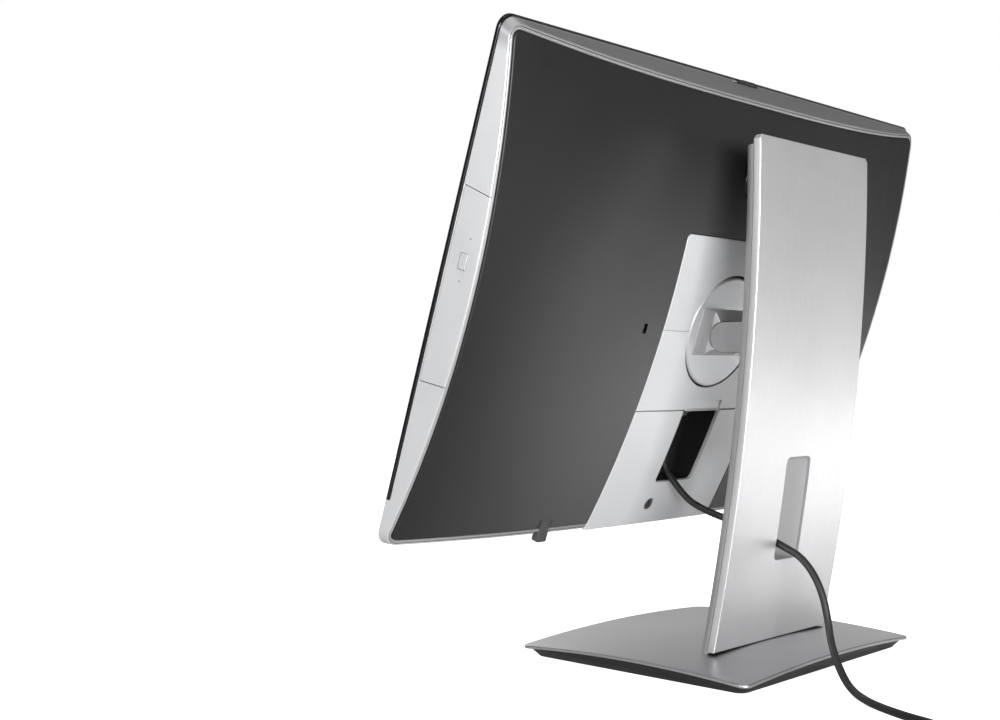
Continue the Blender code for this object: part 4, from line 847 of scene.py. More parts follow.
def mains_lead():
    """The lead in five lengths; the first four run, curving, between the bodies that they join, and are put on
    none of them.
    """
    along, places = smooth_route(np.vstack([bay_bend(), ROUTE]), LEAD_STEP)
    cuts = [0.0, *CORD_CUTS]
    pairs = [("head", "tilt"), ("tilt", "lift"), ("lift", "stand"), ("stand", "turntable")]
    exit_point = in_head(RELIEF_X, RELIEF_DEPTH, RELIEF_FOOT - GAP)
    for number, (start, end, bodies) in enumerate(zip(cuts, CORD_CUTS, pairs), 1):
        count = max(6, round((end - start) / LEAD_STEP) + 1)
        run = between(along, places, np.linspace(start, end, count))
        made = tube(f"lead_{number}", run)
        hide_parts(f"power_cord_{number}")
        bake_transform(made)
        exit_point = run[-1]
    last_lead(along, places)


def last_lead(along, places):
    """The length along the table, through the coil and into the plug."""
    run = between(along, places, np.arange(CORD_CUTS[-1], along[-1], LEAD_STEP))
    turns = coil_turns()
    heading = turns[-1] - turns[-2]
    heading = heading / np.linalg.norm(heading)
    _, whole = evenly(np.vstack([run, turns[1:], plug_run(turns[-1], heading)]), LEAD_STEP * 1.1)
    made = tube("lead_5", whole)
    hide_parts("power_cord_5", "cord_coil")
    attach(made, "turntable")
    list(mains_plug())
    coil_tie()


def mains_plug():
    """Moulded two-pin plug with a tapered boot, lying on its side by the coil."""
    low_x, high_x = PLUG_MIDDLE[0] - PLUG_HALF_WIDTH, PLUG_MIDDLE[0] + PLUG_HALF_WIDTH
    front = PLUG_LOW.y + 0.018
    rear = PLUG_MIDDLE[1] - 0.006
    body = block("plug_body", (low_x, 0.0002, front + 0.001), (high_x, PLUG_HIGH.z, rear), 0.003,
                 LOOKS["pan"], "turntable", upright, slot="black_plastic", stands_for=["mains_plug"])
    rings = [(0.0052, 0.0)]
    for rib in range(3):
        start = 0.0004 + rib * 0.0018
        crest = 0.0050 - rib * 0.0004
        dip = 0.0042 - rib * 0.0003
        rings += [(crest, start), (crest, start + 0.0010), (dip, start + 0.0011), (dip, start + 0.0017)]
    boot = turned("plug_boot", rings, (PLUG_MIDDLE[0], rear, PLUG_MIDDLE[2]), (0, 1, 0), LOOKS["pan"],
                  "turntable", 32, slot="black_plastic")
    pin = soft_profile(0.0024, (0.0, 0.018), 0.0008)
    pins = []
    for number, side in enumerate((-1, 1), 1):
        foot = (PLUG_MIDDLE[0] + side * 0.0095, front + 0.0012, 0.008)
        pins.append(turned(f"plug_pin_{number}", pin, foot, (0, -1, 0), LOOKS["pin"], "turntable", 24,
                           slot="steel"))
    return [body, boot, *pins]


def coil_tie():
    """A flat strap closed round the coil's section at one place."""
    angle = math.radians(250)
    slack = 0.0004
    inner = COIL_MIDDLE_RADIUS - 1.5 * CORD_DIAMETER - slack
    loop = rounded((inner, COIL_OUTER + slack), (slack, 3 * CORD_DIAMETER + slack), 0.002, 0.004, 5)
    normal = outward(loop)
    along = np.array([-math.sin(angle), math.cos(angle), 0.0])
    away = np.array([math.cos(angle), math.sin(angle), 0.0])
    corners = [(-0.0025, 0.0), (0.0025, 0.0), (0.0025, 0.0005), (-0.0025, 0.0005)]
    foot = np.array([*COIL_CENTRE[:2], 0.0])
    rings = []
    for shift, lift in corners:
        flat = loop + normal * lift
        rings.append(foot + flat[:, :1] * away + flat[:, 1:] * np.array([0, 0, 1.0]) + shift * along)
    return swept("coil_tie", np.stack(rings, 1), LOOKS["tie"], "turntable", closed_path=True,
                 slot="black_plastic")


mains_lead()


# ---- the head's surfaces -------------------------------------------------------------------------
SHUTTER_SLOT = (-0.0123, 0.0203)
LATCH_NOTCH = (0.1267, 0.1413)
CHIN_MIDDLE = (-HALF_HEIGHT + CHIN_TOP) / 2


def back_depth(x, height):
    """Depth of the rounded back: fullest in the middle, with a power curve to the sides and a parabola
    up and down."""
    side = DEPTH_LOSS_SIDE * np.abs(x / HALF_WIDTH) ** SIDE_POWER
    ends = DEPTH_LOSS_ENDS * ((height - DEPTH_PEAK) / DEPTH_REACH) ** 2
    return DEPTH_MIDDLE - side - ends


def drawn_in(outline, depth):
    """The head's front outline at a depth: each side slopes inwards by its own draft."""
    x, z = outline[:, 0], outline[:, 1]
    slope = np.where(z > 0, DRAFT_TOP, DRAFT_BOTTOM)
    return np.column_stack([x * (HALF_WIDTH - DRAFT_SIDE * depth) / HALF_WIDTH,
                            z * (HALF_HEIGHT - slope * depth) / HALF_HEIGHT])


def band_depth(outline):
    """Depth at which each line of the band meets the rounded back, found by repeated substitution."""
    depth = np.full(len(outline), 0.02)
    for _ in range(12):
        there = drawn_in(outline, depth)
        depth = back_depth(there[:, 0], there[:, 1])
    return depth


def head_outline(step=0.004):
    """The head's outline at the glass."""
    return rounded((-HALF_WIDTH, HALF_WIDTH), (-HALF_HEIGHT, HALF_HEIGHT), HEAD_CORNER, step, 14)


def rim_outline(inset, step=0.004):
    """The band's inner edge where it meets the back, set in by an amount."""
    outline = head_outline(step)
    there = drawn_in(outline, band_depth(outline))
    return there - outward(there) * inset


def band_sections(outline, front, rear):
    """Sections of the band between two depths on each line of the outline: out over a small
    rounded front edge, along the sloping wall, over a rounded rear edge and back down inside."""
    normal = outward(outline)
    edge = 0.0005
    quarter = np.radians(np.linspace(0, 90, 5))
    path = [(BAND_WALL, 0.0, 0.0)]
    path += [(edge - edge * math.sin(a), edge - edge * math.cos(a), 0.0) for a in quarter]
    path += [(0.0, edge * 1.4, 0.0)]
    path += [(0.0, 0.0, 0.25), (0.0, 0.0, 0.5), (0.0, 0.0, 0.75)]
    path += [(0.0, -edge * 1.4, 1.0)]
    path += [(edge - edge * math.cos(a), -edge + edge * math.sin(a), 1.0) for a in quarter]
    path += [(BAND_WALL, 0.0, 1.0)]
    rings = []
    for inset, shift, share in path:
        depth = front + (rear - front) * share + shift
        flat = drawn_in(outline, depth) - normal * inset
        rings.append(in_head(flat[:, 0], depth, flat[:, 1]))
    return np.stack(rings, 1)


def crossing(outline, height, side):
    """The outline with a point put in where one of its upright sides passes a height."""
    upright = np.abs(outline[:, 0] - side * HALF_WIDTH) < 1e-6
    z = outline[:, 1]
    after = np.roll(z, -1)
    place = np.flatnonzero(upright & ((z - height) * (after - height) <= 0) & np.roll(upright, -1))[0]
    return np.insert(outline, place + 1, [[side * HALF_WIDTH, height - side * 1e-5],
                                          [side * HALF_WIDTH, height + side * 1e-5]], axis=0)


def silver_band():
    """The band round the head: it starts at the glass, or at the very front beside the chin, and
    stops short of the back; along the drive it is only the strip in front of the bezel."""
    outline = head_outline()
    for height, side in ((CHIN_TOP, 1), (CHIN_TOP, -1), (DRIVE_FOOT - 0.0002, 1), (DRIVE_HEAD + 0.0002, 1)):
        outline = crossing(outline, height, side)
    height = outline[:, 1]
    at_drive = (height > DRIVE_FOOT - 0.0002) & (height < DRIVE_HEAD + 0.0002)
    by_drive = at_drive & (outline[:, 0] > HALF_WIDTH * 0.99)
    front = np.where(height < CHIN_TOP, 0.0, GLASS_THICK + GAP)
    rear = np.where(by_drive, DRIVE_FRONT - GAP, band_depth(outline) - 0.0004)
    made = swept("silver_band", band_sections(outline, front, rear), LOOKS["band"], "head", closed_path=True,
                 slot="silver_plastic", stands_for=["mid_frame"], sharp=30)
    shutter_slot = prism(rectangle(SHUTTER_SLOT, (0.16, 0.20)), (0.0037, 0.0077), in_head)
    return carve(made, [shutter_slot, *latch_notches(0.0185)])


def latch_notches(front):
    """Cutting tools for the two catches, each as long as its catch with its travel."""
    notches = []
    for side in (-1, 1):
        x = sorted((side * LATCH_NOTCH[0], side * LATCH_NOTCH[1]))
        notches.append(prism(rectangle(x, (-0.21, -0.1669)), (front, 0.06), in_head))
    return notches


def shutter_bed():
    """Painted shade: a dark channel under the shutter's slot."""
    return block("shutter_bed", (-0.0122, 0.0039, HALF_HEIGHT - 0.0062), (0.0202, 0.0076, HALF_HEIGHT - 0.0036),
                 0.0002, LOOKS["dark"], "head", slot="black_plastic")


def chin():
    """Flat silver strip under the glass, let in for the speaker strip."""
    outline = rounded((-HALF_WIDTH + 0.0004, HALF_WIDTH - 0.0004), (-HALF_HEIGHT + 0.0004, CHIN_TOP - GAP),
                      (HEAD_CORNER - 0.0004, 0, 0, HEAD_CORNER - 0.0004), 0.006)
    made = plate("chin", outline, level(0.0), 0.0022, 0.0004, LOOKS["band"], "head",
                 front_place, slot="silver_plastic")
    slot = rounded((-0.1101, 0.1101), (CHIN_MIDDLE - 0.0076, CHIN_MIDDLE + 0.0076), 0.0020)
    return carve(made, [prism(slot, (-0.01, 0.0011), in_head)])


def glass():
    """Edge-to-edge glass with a fine rounded edge."""
    corners = (0, HEAD_CORNER, HEAD_CORNER, 0)
    outline = rounded((-HALF_WIDTH, HALF_WIDTH), (CHIN_TOP, HALF_HEIGHT), corners, 0.008)
    return plate("glass", outline, level(0.0), GLASS_THICK, 0.0005, LOOKS["screen"], "head", front_place,
                 slot="screen_glass", stands_for=["front_glass"])


def speaker_strip():
    """Perforated strip in the chin, just below its face."""
    outline = rounded((-0.1097, 0.1097), (CHIN_MIDDLE - 0.0072, CHIN_MIDDLE + 0.0072), 0.0017)
    return plate("speaker_strip", outline, level(-0.0003), 0.0008, 0.0002, LOOKS["grille"], "head", front_place,
                 slot="perforated_steel", stands_for=["speaker_grille"])


def camera_eye():
    """Webcam lens behind the glass: a ring, a dark cone and a small domed lens."""
    height = HALF_HEIGHT - 0.0105
    centre = in_head(0.0, 0.0, height)
    ring = [(0.0030, -0.0001), (0.0030, 0.00012), (0.0027, 0.00022), (0.0023, 0.00022), (0.0022, 0.0001),
            (0.0022, -0.0001)]
    turned("camera_ring", ring + ring[:1], centre, -BACK, LOOKS["eye_ring"], "head", 48, slot="black_plastic")
    dome = [(0.0020 * math.sin(a), 0.0004 * math.cos(a)) for a in np.radians(np.linspace(90, 3, 10))]
    turned("camera_lens", [(0.0020, -0.0002)] + dome, centre, -BACK, LOOKS["lens"], "head", 48,
           slot="screen_glass")
    light = [(0.0006, -0.0001), (0.0006, 0.0001), (0.0001, 0.00015)]
    turned("camera_light", light, in_head(0.0085, 0.0, height), -BACK, LOOKS["eye_ring"], "head", 16,
           slot="black_plastic")


def power_key():
    """Round power button with a dished face, and a dark ring round it as painted shade for the gap."""
    centre = in_head(HALF_WIDTH - 0.030, 0.0, CHIN_MIDDLE)
    profile = [(0.0041, -0.0034), (0.0041, 0.0003), (0.0039, 0.0005), (0.0036, 0.00055), (0.0030, 0.0004),
               (0.0018, 0.00025), (0.0001, 0.0002)]
    turned("power_key", profile, centre, -BACK, LOOKS["key"], "power_button", 48, slot="silver_plastic",
           stands_for=["power_button"])
    ring = [(0.0047, -0.0004), (0.0047, 0.00008), (0.00415, 0.00008), (0.00415, -0.0004)]
    turned("power_ring", ring + ring[:1], centre, -BACK, LOOKS["dark"], "head", 48, slot="black_plastic")


# ---- the back ------------------------------------------------------------------------------------
PANEL_TOP = 0.0648
PANEL_SPLIT = -0.0755
PANEL_HALF_TOP = 0.0775
PANEL_HALF_FOOT = 0.0835
PANEL_CORNER = 0.005
PANEL_SEAM = 0.0009
DISC_SEAM = 0.0014
BAY_X = (-0.0315, 0.0190)
BAY_FOOT = -0.1410
TAB_X = (-0.0305, 0.0165)
TAB_HEAD = -0.0675
BADGE_HEIGHT = 0.1115
BADGE_RADIUS = 0.0185
SCREW_PLACE = (0.0130, -0.1615)
LOCK_X = (0.1005, 0.1035)
LOCK_Z = (-0.0125, -0.0055)


def panel_half(height):
    """Half the light panel's width: it spreads in a straight line towards the foot."""
    share = (PANEL_TOP - height) / (PANEL_TOP + HALF_HEIGHT)
    return PANEL_HALF_TOP + (PANEL_HALF_FOOT - PANEL_HALF_TOP) * share


def panel_outline(top, foot, grow=0.0, corner=PANEL_CORNER):
    """The light panel's outline between two heights: a rounded top on slightly spreading sides."""
    corners = (0, corner, corner, 0) if corner else 0
    half = panel_half(top) + grow
    straight = rounded((-half, half), (foot - grow, top + grow), corners, 0.004)
    spread = (panel_half(straight[:, 1]) + grow) / half
    return np.column_stack([straight[:, 0] * spread, straight[:, 1]])


LIP_WIDTH = 0.0024
PANEL_FOOT = rim_outline(BAND_WALL + 0.0002)[:, 1].min()
THROUGH = (0.01, 0.07)


def cover_lip():
    """Bead of round section between the band and the cover, in a grey that is a painted highlight: the light
    caught on the cover's rounded edge.
    """
    there = rim_outline(0.0)
    normal = outward(there)
    depth = back_depth(there[:, 0], there[:, 1])
    half = LIP_WIDTH / 2
    rings = []
    for angle in np.radians(np.linspace(0, 360, 16, endpoint=False)):
        flat = there - normal * (BAND_WALL + 0.0001 + half * (1 - math.cos(angle)))
        rings.append(in_head(flat[:, 0], depth - half * 0.9 + half * math.sin(angle), flat[:, 1]))
    swept("cover_lip", np.stack(rings, 1), LOOKS["lip"], "head", closed_path=True, slot="charcoal_plastic",
          sharp=60)


def back_cover():
    """Charcoal back of the head in one sweep from edge to edge, with a rounded lip."""
    outline = rim_outline(BAND_WALL + LIP_WIDTH + 0.0003, 0.003)
    made = plate("back_cover", outline, back_depth, 0.0026, COVER_RIM, LOOKS["cover"], "head", rows=44,
                 slot="charcoal_plastic", stands_for=["rear_cover"])
    return carve(made, [prism(panel_outline(PANEL_TOP, -HALF_HEIGHT - 0.03, PANEL_SEAM), (0.0, 0.07), in_head),
                        prism(circle(BADGE_RADIUS + GAP, (0, BADGE_HEIGHT)), THROUGH, in_head),
                        prism(rectangle(LOCK_X, LOCK_Z), THROUGH, in_head), *latch_notches(0.005)])


def lock_slot():
    """Security slot: a fine dark rim that runs down into it, and a bed behind it, both in painted shade."""
    depth = float(back_depth(np.mean(LOCK_X), np.mean(LOCK_Z)))

    def spread(by):
        """The slot grown by an amount on every side."""
        return (LOCK_X[0] - by, LOCK_X[1] + by), (LOCK_Z[0] - by, LOCK_Z[1] + by)

    outer = rounded(*spread(0.0006), 0.0009, 0.01)
    inner = rounded(*spread(0.0), 0.0005, 0.01)
    path = [(outer, -0.0008), (outer, 0.0002), (inner, 0.0002), (inner, -0.0025)]
    count = min(len(outer), len(inner))
    rings = np.stack([in_head(ring[:count, 0], depth + drop, ring[:count, 1]) for ring, drop in path], 1)
    swept("lock_rim", rings, LOOKS["dark"], "head", closed_path=True, slot="steel")
    (low_x, high_x), (low_z, high_z) = spread(0.001)
    block("lock_bed", (low_x, depth - 0.0045, low_z), (high_x, depth - 0.0026, high_z), 0.0002, LOOKS["dark"],
          "head", slot="black_plastic")


def panel_bed():
    """Painted shade: a dark sheet behind the light panel, seen in its seams as their shadow."""
    made = plate("panel_bed", panel_outline(PANEL_TOP + 0.0012, PANEL_FOOT + 0.002, 0.0, 0),
                 lambda x, z: back_depth(x, z) - 0.0022, 0.0006, 0.0001, LOOKS["dark"], "head", rows=20,
                 slot="black_plastic")
    window = rounded((BAY_X[0] - 0.0005, BAY_X[1] + 0.0005), (BAY_FOOT - 0.0005, TAB_HEAD + 0.001), 0)
    return carve(made, [prism(circle(DISC_RADIUS + 0.0040, (0, -PIVOT_DROP), 96), THROUGH, in_head),
                        prism(window, THROUGH, in_head),
                        prism(circle(0.0060, SCREW_PLACE, 40), THROUGH, in_head)])


def upper_shield():
    """Upper part of the light panel, open round the disc and notched over the bay."""
    made = plate("upper_shield", panel_outline(PANEL_TOP, PANEL_SPLIT), back_depth, 0.0028, 0.0005,
                 LOOKS["shield"], "head", rows=22, slot="light_plastic", stands_for=["upper_panel"])
    carve(made, [prism(circle(DISC_RADIUS + DISC_SEAM, (0, -PIVOT_DROP), 120), THROUGH, in_head),
                 prism(rectangle(TAB_X, (PANEL_SPLIT - 0.01, TAB_HEAD)), THROUGH, in_head)])
    grooves = []
    for side in (-1, 1):
        x = sorted((side * (DISC_RADIUS + 0.0002), side * 0.09))
        line = rectangle(x, (-PIVOT_DROP - 0.0004, -PIVOT_DROP + 0.0004))
        grooves.append(sheet_tool(line, 0.0014))
    return carve(made, grooves)


def sheet_tool(outline, deep):
    """A cutting tool that follows the rounded back and reaches a little way into it."""
    outline = filled_in(outline, 0.003)
    rings = np.stack([in_head(outline[:, 0], back_depth(outline[:, 0], outline[:, 1]) + shift, outline[:, 1])
                      for shift in (-deep, 0.001)])
    return tool_from(rings)


def disc_well():
    """Painted shade: a dark floor seen in the groove round the disc, as its shadow."""
    profile = [(DISC_RADIUS - 0.004, 0.0), (DISC_RADIUS + 0.006, 0.0), (DISC_RADIUS + 0.006, 0.001),
               (DISC_RADIUS - 0.004, 0.001)]
    turned("disc_well", profile + profile[:1], PIVOT_POINT + BACK * 0.0355, BACK, LOOKS["dark"], "head", 96,
           slot="black_plastic")


def lower_shield():
    """Lower, removable part of the light panel, with the window for the cables."""
    outline = panel_outline(PANEL_SPLIT - PANEL_SEAM, PANEL_FOOT + 0.0002, 0.0, 0)
    made = plate("lower_shield", outline, back_depth, 0.0028, 0.0005, LOOKS["shield"], "head", rows=20,
                 slot="light_plastic", stands_for=["port_cover"])
    window = rounded(BAY_X, (BAY_FOOT, PANEL_SPLIT + 0.02), (0.004, 0, 0, 0.004))
    return carve(made, [prism(window, THROUGH, in_head),
                        prism(circle(0.0054, SCREW_PLACE, 40), THROUGH, in_head)])


def release_tab():
    """Spring tab with a rolled lip over the window."""
    outline = rounded((TAB_X[0] + GAP, TAB_X[1] - GAP), (PANEL_SPLIT - 0.0008, TAB_HEAD - GAP), 0.0006)
    face = float(back_depth(0, TAB_HEAD)) - 0.0012
    plate("release_tab", outline, lambda x, z: face - 0.12 * (z - PANEL_SPLIT),
          0.0018, 0.0004, LOOKS["shield"], "cover_tab", slot="light_plastic", stands_for=["port_cover_tab"])
    lip = rounded((TAB_X[0] + GAP, TAB_X[1] - GAP), (PANEL_SPLIT - 0.0012, PANEL_SPLIT + 0.0008), 0.0006)
    plate("tab_lip", lip, level(face + 0.0008), 0.0030, 0.0006, LOOKS["shield"],
          "cover_tab", slot="light_plastic")


def round_badge():
    """Plain dark badge: a shallow dome, a parabola in section, inside a fine raised ring."""
    depth = float(back_depth(0, BADGE_HEIGHT))
    centre = in_head(0.0, depth, BADGE_HEIGHT)
    radius = BADGE_RADIUS
    ring = [(0.0001, -0.004), (radius, -0.004), (radius, 0.0006), (radius - 0.0003, 0.0011),
            (radius - 0.0010, 0.0014), (radius - 0.0017, 0.0011), (radius - 0.0020, 0.0006)]
    dome = [((radius - 0.0021) * share, 0.0006 + 0.0011 * (1 - share ** 2))
            for share in np.linspace(1, 0.01, 12)]
    turned("badge", ring + dome, centre, BACK, LOOKS["badge"], "head", 96, slot="gloss_black",
           stands_for=["round_badge"])


def drive_front():
    """Bezel that rides out with the tray: the band's own surface between the drive's two seams."""
    heights = np.linspace(DRIVE_FOOT + 0.0004, DRIVE_HEAD - 0.0004, 40)
    outline = np.column_stack([np.full(40, HALF_WIDTH), heights])
    normal = np.column_stack([np.ones(40), np.zeros(40)])
    rear = band_depth(outline) - 0.0004
    front = np.full(40, DRIVE_FRONT)
    edge = 0.0005
    quarter = np.radians(np.linspace(0, 90, 5))
    path = [(0.0085, 0.0, 0.0)]
    path += [(edge - edge * math.sin(a), edge - edge * math.cos(a), 0.0) for a in quarter]
    path += [(0.0, edge * 1.4, 0.0), (0.0, 0.0, 0.5), (0.0, -edge * 1.4, 1.0)]
    path += [(edge - edge * math.cos(a), -edge + edge * math.sin(a), 1.0) for a in quarter]
    path += [(0.0012, 0.0, 1.0), (0.0014, -0.0028, 1.0), (0.0085, -0.0028, 1.0)]
    rings = []
    for inset, shift, share in path:
        depth = front + (rear - front) * share + shift
        flat = drawn_in(outline, depth) - normal * inset
        rings.append(in_head(flat[:, 0], depth, flat[:, 1]))
    made = swept("drive_front", np.stack(rings, 1), LOOKS["band"], "tray", slot="silver_plastic",
                 stands_for=["drive_bezel"])

    key = rounded((0.0129, 0.0193), (0.0175, 0.0290), 0.0007, 0.01)
    return carve(made, [prism(key, (0.26, 0.30), sideways),
                        prism(circle(0.0006, (0.0168, 0.0100), 20), (0.26, 0.30), sideways),
                        prism(circle(0.0008, (0.0180, 0.0388), 20), (0.26, 0.30), sideways)])


def drive_details():
    """Eject key, its light and the dark ground behind the holes, painted shade seen through them."""
    face = HALF_WIDTH - DRAFT_SIDE * 0.016
    outline = rounded((0.0132, 0.0190), (0.0178, 0.0287), 0.0006, 0.01)
    plate("eject_key", outline, lambda a, b: face + 0.0002 - DRAFT_SIDE * (a - 0.016), 0.0042, 0.0004,
          LOOKS["band"], "eject_button", sideways, rows=4, slot="silver_plastic", stands_for=["eject_button"])
    bed = rounded((0.0100, 0.0205), (0.0080, 0.0410), 0.0005, 0.01)
    plate("drive_light_bed", bed, lambda a, b: face - 0.0040 - DRAFT_SIDE * (a - 0.016), 0.0010, 0.0002,
          LOOKS["dark"], "tray", sideways, rows=4, slot="black_plastic")
    light = in_head(face - 0.0006, 0.0180, 0.0388)
    turned("drive_light", [(0.00075, -0.002), (0.00075, 0.0), (0.0001, 0.0002)], light, SIDE,
           LOOKS["drive_light"], "tray", 16, slot="silver_plastic")


def latches():
    """Sliding catches at the foot of the back, ridged for a fingertip."""
    outer = float(back_depth(0.134, -0.1740)) + 0.0002
    ribs = 4
    share = np.linspace(0, 1, ribs * 8 + 1)
    ripple = 0.00018 * (1 - np.cos(2 * math.pi * ribs * share)) / 2
    for name in ("drive_side", "far_side"):
        low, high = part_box(f"cover_latch_{name}")

        def ridged(a, b, low=low, high=high):
            return outer - np.interp((a - low.x) / (high.x - low.x), share, ripple)

        outline = rounded((low.x, high.x), (-0.1862, -0.1675), 0.0008, 0.0003, 4)
        plate(f"latch_{name}", outline, ridged, 0.0066, 0.0006, LOOKS["cover"], f"latch_{name}", rows=16,
              slot="black_plastic", stands_for=[f"cover_latch_{name}"])


def shutter():
    """Webcam slider with a row of fine ribs for the thumb."""
    top = HALF_HEIGHT
    block("shutter_slide", (-0.012, 0.0040, top - 0.0031), (0.012, 0.0074, top - 0.0008), 0.0002,
          LOOKS["black"], "shutter", slot="black_plastic", stands_for=["webcam_shutter"])
    for number, x in enumerate(np.linspace(-0.0078, 0.0063, 7), 1):
        block(f"shutter_rib_{number}", (x, 0.0046, top - 0.0014), (x + 0.0015, 0.0068, top + 0.0001), 0.0003,
              LOOKS["black"], "shutter", slot="black_plastic")


# ---- inside the bay ------------------------------------------------------------------------------
def bay():
    """Plug, its ribbed sleeve, and the tongues of the sockets."""
    low = (RELIEF_X - 0.0095, RELIEF_DEPTH - 0.0050, RELIEF_HEAD + GAP)
    high = (RELIEF_X + 0.0095, RELIEF_DEPTH + 0.0070, -0.0726)
    block("connector_shell", low, high, 0.0016, LOOKS["black"], "head", slot="black_plastic",
          stands_for=["cord_connector"])
    length = RELIEF_HEAD - RELIEF_FOOT
    share = np.linspace(0, 1, 61)
    taper = CORD_DIAMETER / 2 + 0.00225 - 0.00165 * share
    groove = 0.0006 * (np.sin(share * 2 * math.pi * 8) > 0.2) * (share > 0.08) * (share < 0.95)
    profile = [(0.0001, 0.0)] + list(zip(taper - groove, share * length)) + [(0.0001, length)]
    turned("relief_sleeve", profile, in_head(RELIEF_X, RELIEF_DEPTH, RELIEF_HEAD), -UP, LOOKS["sleeve"],
           "head", 32, slot="rubber", stands_for=["strain_relief"])
    for number, depth in enumerate((0.0208, 0.0263), 1):
        block(f"socket_tongue_{number}", (-0.0275, depth, -0.0722), (-0.0155, depth + 0.0012, -0.0680), 0.0002,
              LOOKS["tongue"], "head", slot="black_plastic")


# ---- disc, hinge and arm -------------------------------------------------------------------------
DISC_FACE = 0.0458
TILT_DEPTH = 0.0595
WEDGE_HALF_WIDTH = 0.035
WEDGE_HALF_HEIGHT = 0.0188
BARREL_RADIUS = 0.0142
BARREL_HALF_WIDTH = 0.020
ARM_RADIUS = 0.0118
TONGUE_HALF_WIDTH = 0.006


def mount_disc():
    """Light disc with a soft edge and a fine step, on its shaft."""
    r = DISC_RADIUS
    face = DISC_FACE
    profile = [(0.0001, 0.0205), (0.0119, 0.0205), (0.0119, 0.0403), (r - 0.0006, 0.0403), (r, 0.0409)]
    profile += [(r, face - 0.0019), (r - 0.0003, face - 0.0014), (r - 0.0012, face - 0.0003)]
    profile += [(r - inset, face) for inset in (0.0018, 0.0026, 0.010, 0.030)] + [(0.0001, face)]
    turned("disc", profile, PIVOT_POINT, BACK, LOOKS["disc"], "tilt", 128, slot="cast_aluminium",
           stands_for=["mount_disc"])


def in_tilt(x, depth, height):
    """World places of points given from the tilt axis, in the head's directions."""
    x, depth, height = np.broadcast_arrays(x, depth, height)
    return TILT_POINT + x[..., None] * SIDE + depth[..., None] * BACK + height[..., None] * UP


def hinge_wedge():
    """Block that narrows from the disc to the hinge: rounded rectangles that shrink with depth, with
    shares of the full width and height at each depth."""
    face = DISC_FACE - TILT_DEPTH
    depths = [face - 0.001, face + 0.0004, face + 0.0008, face + 0.0022, -0.0066, -0.0060]
    widths = [1.0, 1.0, 0.98, 0.60, 0.590, 0.575]
    heights = [1.0, 1.0, 0.99, 0.93, 0.66, 0.64]
    rings = []
    for depth, wide, tall in zip(depths, widths, heights):
        half_x = WEDGE_HALF_WIDTH * wide
        half_z = WEDGE_HALF_HEIGHT * tall
        ring = rounded((-half_x, half_x), (-half_z, half_z), 0.0008, 1.0, 4)
        rings.append(in_tilt(ring[:, 0], np.full(len(ring), depth), ring[:, 1]))
    made = swept("hinge_wedge", np.stack(rings), LOOKS["hinge"], "tilt", slot="cast_aluminium", sharp=25)

    def across(a, depth, b):
        return in_tilt(depth, a, b)

    barrel = circle(ARM_RADIUS + GAP, (0, 0), 72)
    carve(made, [prism(barrel, (TONGUE_HALF_WIDTH, 0.05), across),
                 prism(barrel, (-0.05, -TONGUE_HALF_WIDTH), across)])
    turn = np.radians(np.linspace(-100, 100, 30))
    nose = 0.0112 * np.column_stack([np.cos(turn), np.sin(turn)])
    tongue = np.vstack([nose, [(-0.0135, 0.0105), (-0.0135, -0.0105)]])
    plate("hinge_tongue", tongue, level(TONGUE_HALF_WIDTH), TONGUE_HALF_WIDTH * 2, 0.0004, LOOKS["hinge"],
          "tilt", across, rows=4, slot="cast_aluminium")


def arm():
    """Fork-ended arm: a D-shaped side face carried across its width, over rounded edges."""
    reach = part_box("lift_arm")[1].y - TILT_POINT[1]

    def across(a, depth, b):
        return np.stack(np.broadcast_arrays(depth, TILT_POINT[1] + a, TILT_POINT[2] + b), -1)

    turn = np.radians(np.linspace(90, 270, 40))
    nose = ARM_RADIUS * np.column_stack([np.cos(turn), np.sin(turn)])
    back = np.column_stack([np.linspace(0.004, reach, 8), np.full(8, -ARM_RADIUS)])
    outline = np.vstack([nose, back, back[::-1] * [1, -1]])
    made = plate("arm", outline, level(BARREL_HALF_WIDTH), BARREL_HALF_WIDTH * 2, 0.0006, LOOKS["arm"], "lift",
                 across, rows=6, slot="cast_aluminium", stands_for=["lift_arm"])
    fork = rectangle((-0.05, 0.0165), (-0.05, 0.05))
    carve(made, [prism(fork, (-TONGUE_HALF_WIDTH - GAP, TONGUE_HALF_WIDTH + GAP), across)])
    return made


# ---- column --------------------------------------------------------------------------------------
COLUMN_HALF = 0.0785
COLUMN_TOP = 0.3927
COLUMN_TOP_DEPTH = 0.0888
COLUMN_LEAN = 0.289
COLUMN_THICK = 0.030
COLUMN_CHAMFER = 0.0030
COLUMN_FOOT = 0.017
FRONT_INSET = 0.0006
REAR_SHELL_DEPTH = 0.0062
SIDE_FLAT = 0.006
SHELL_WALL = 0.002
SLOT_X = 0.01725
SLOT_Z = (0.0805, 0.1593)
SLOT_CORNER = 0.005
CABLE_SLOT = rounded((-SLOT_X, SLOT_X), SLOT_Z, SLOT_CORNER)


def rear_y(z):
    """y of the column's rear face: a parabola that leans forward towards the foot."""
    return COLUMN_TOP_DEPTH - COLUMN_LEAN * (COLUMN_TOP - z) ** 2


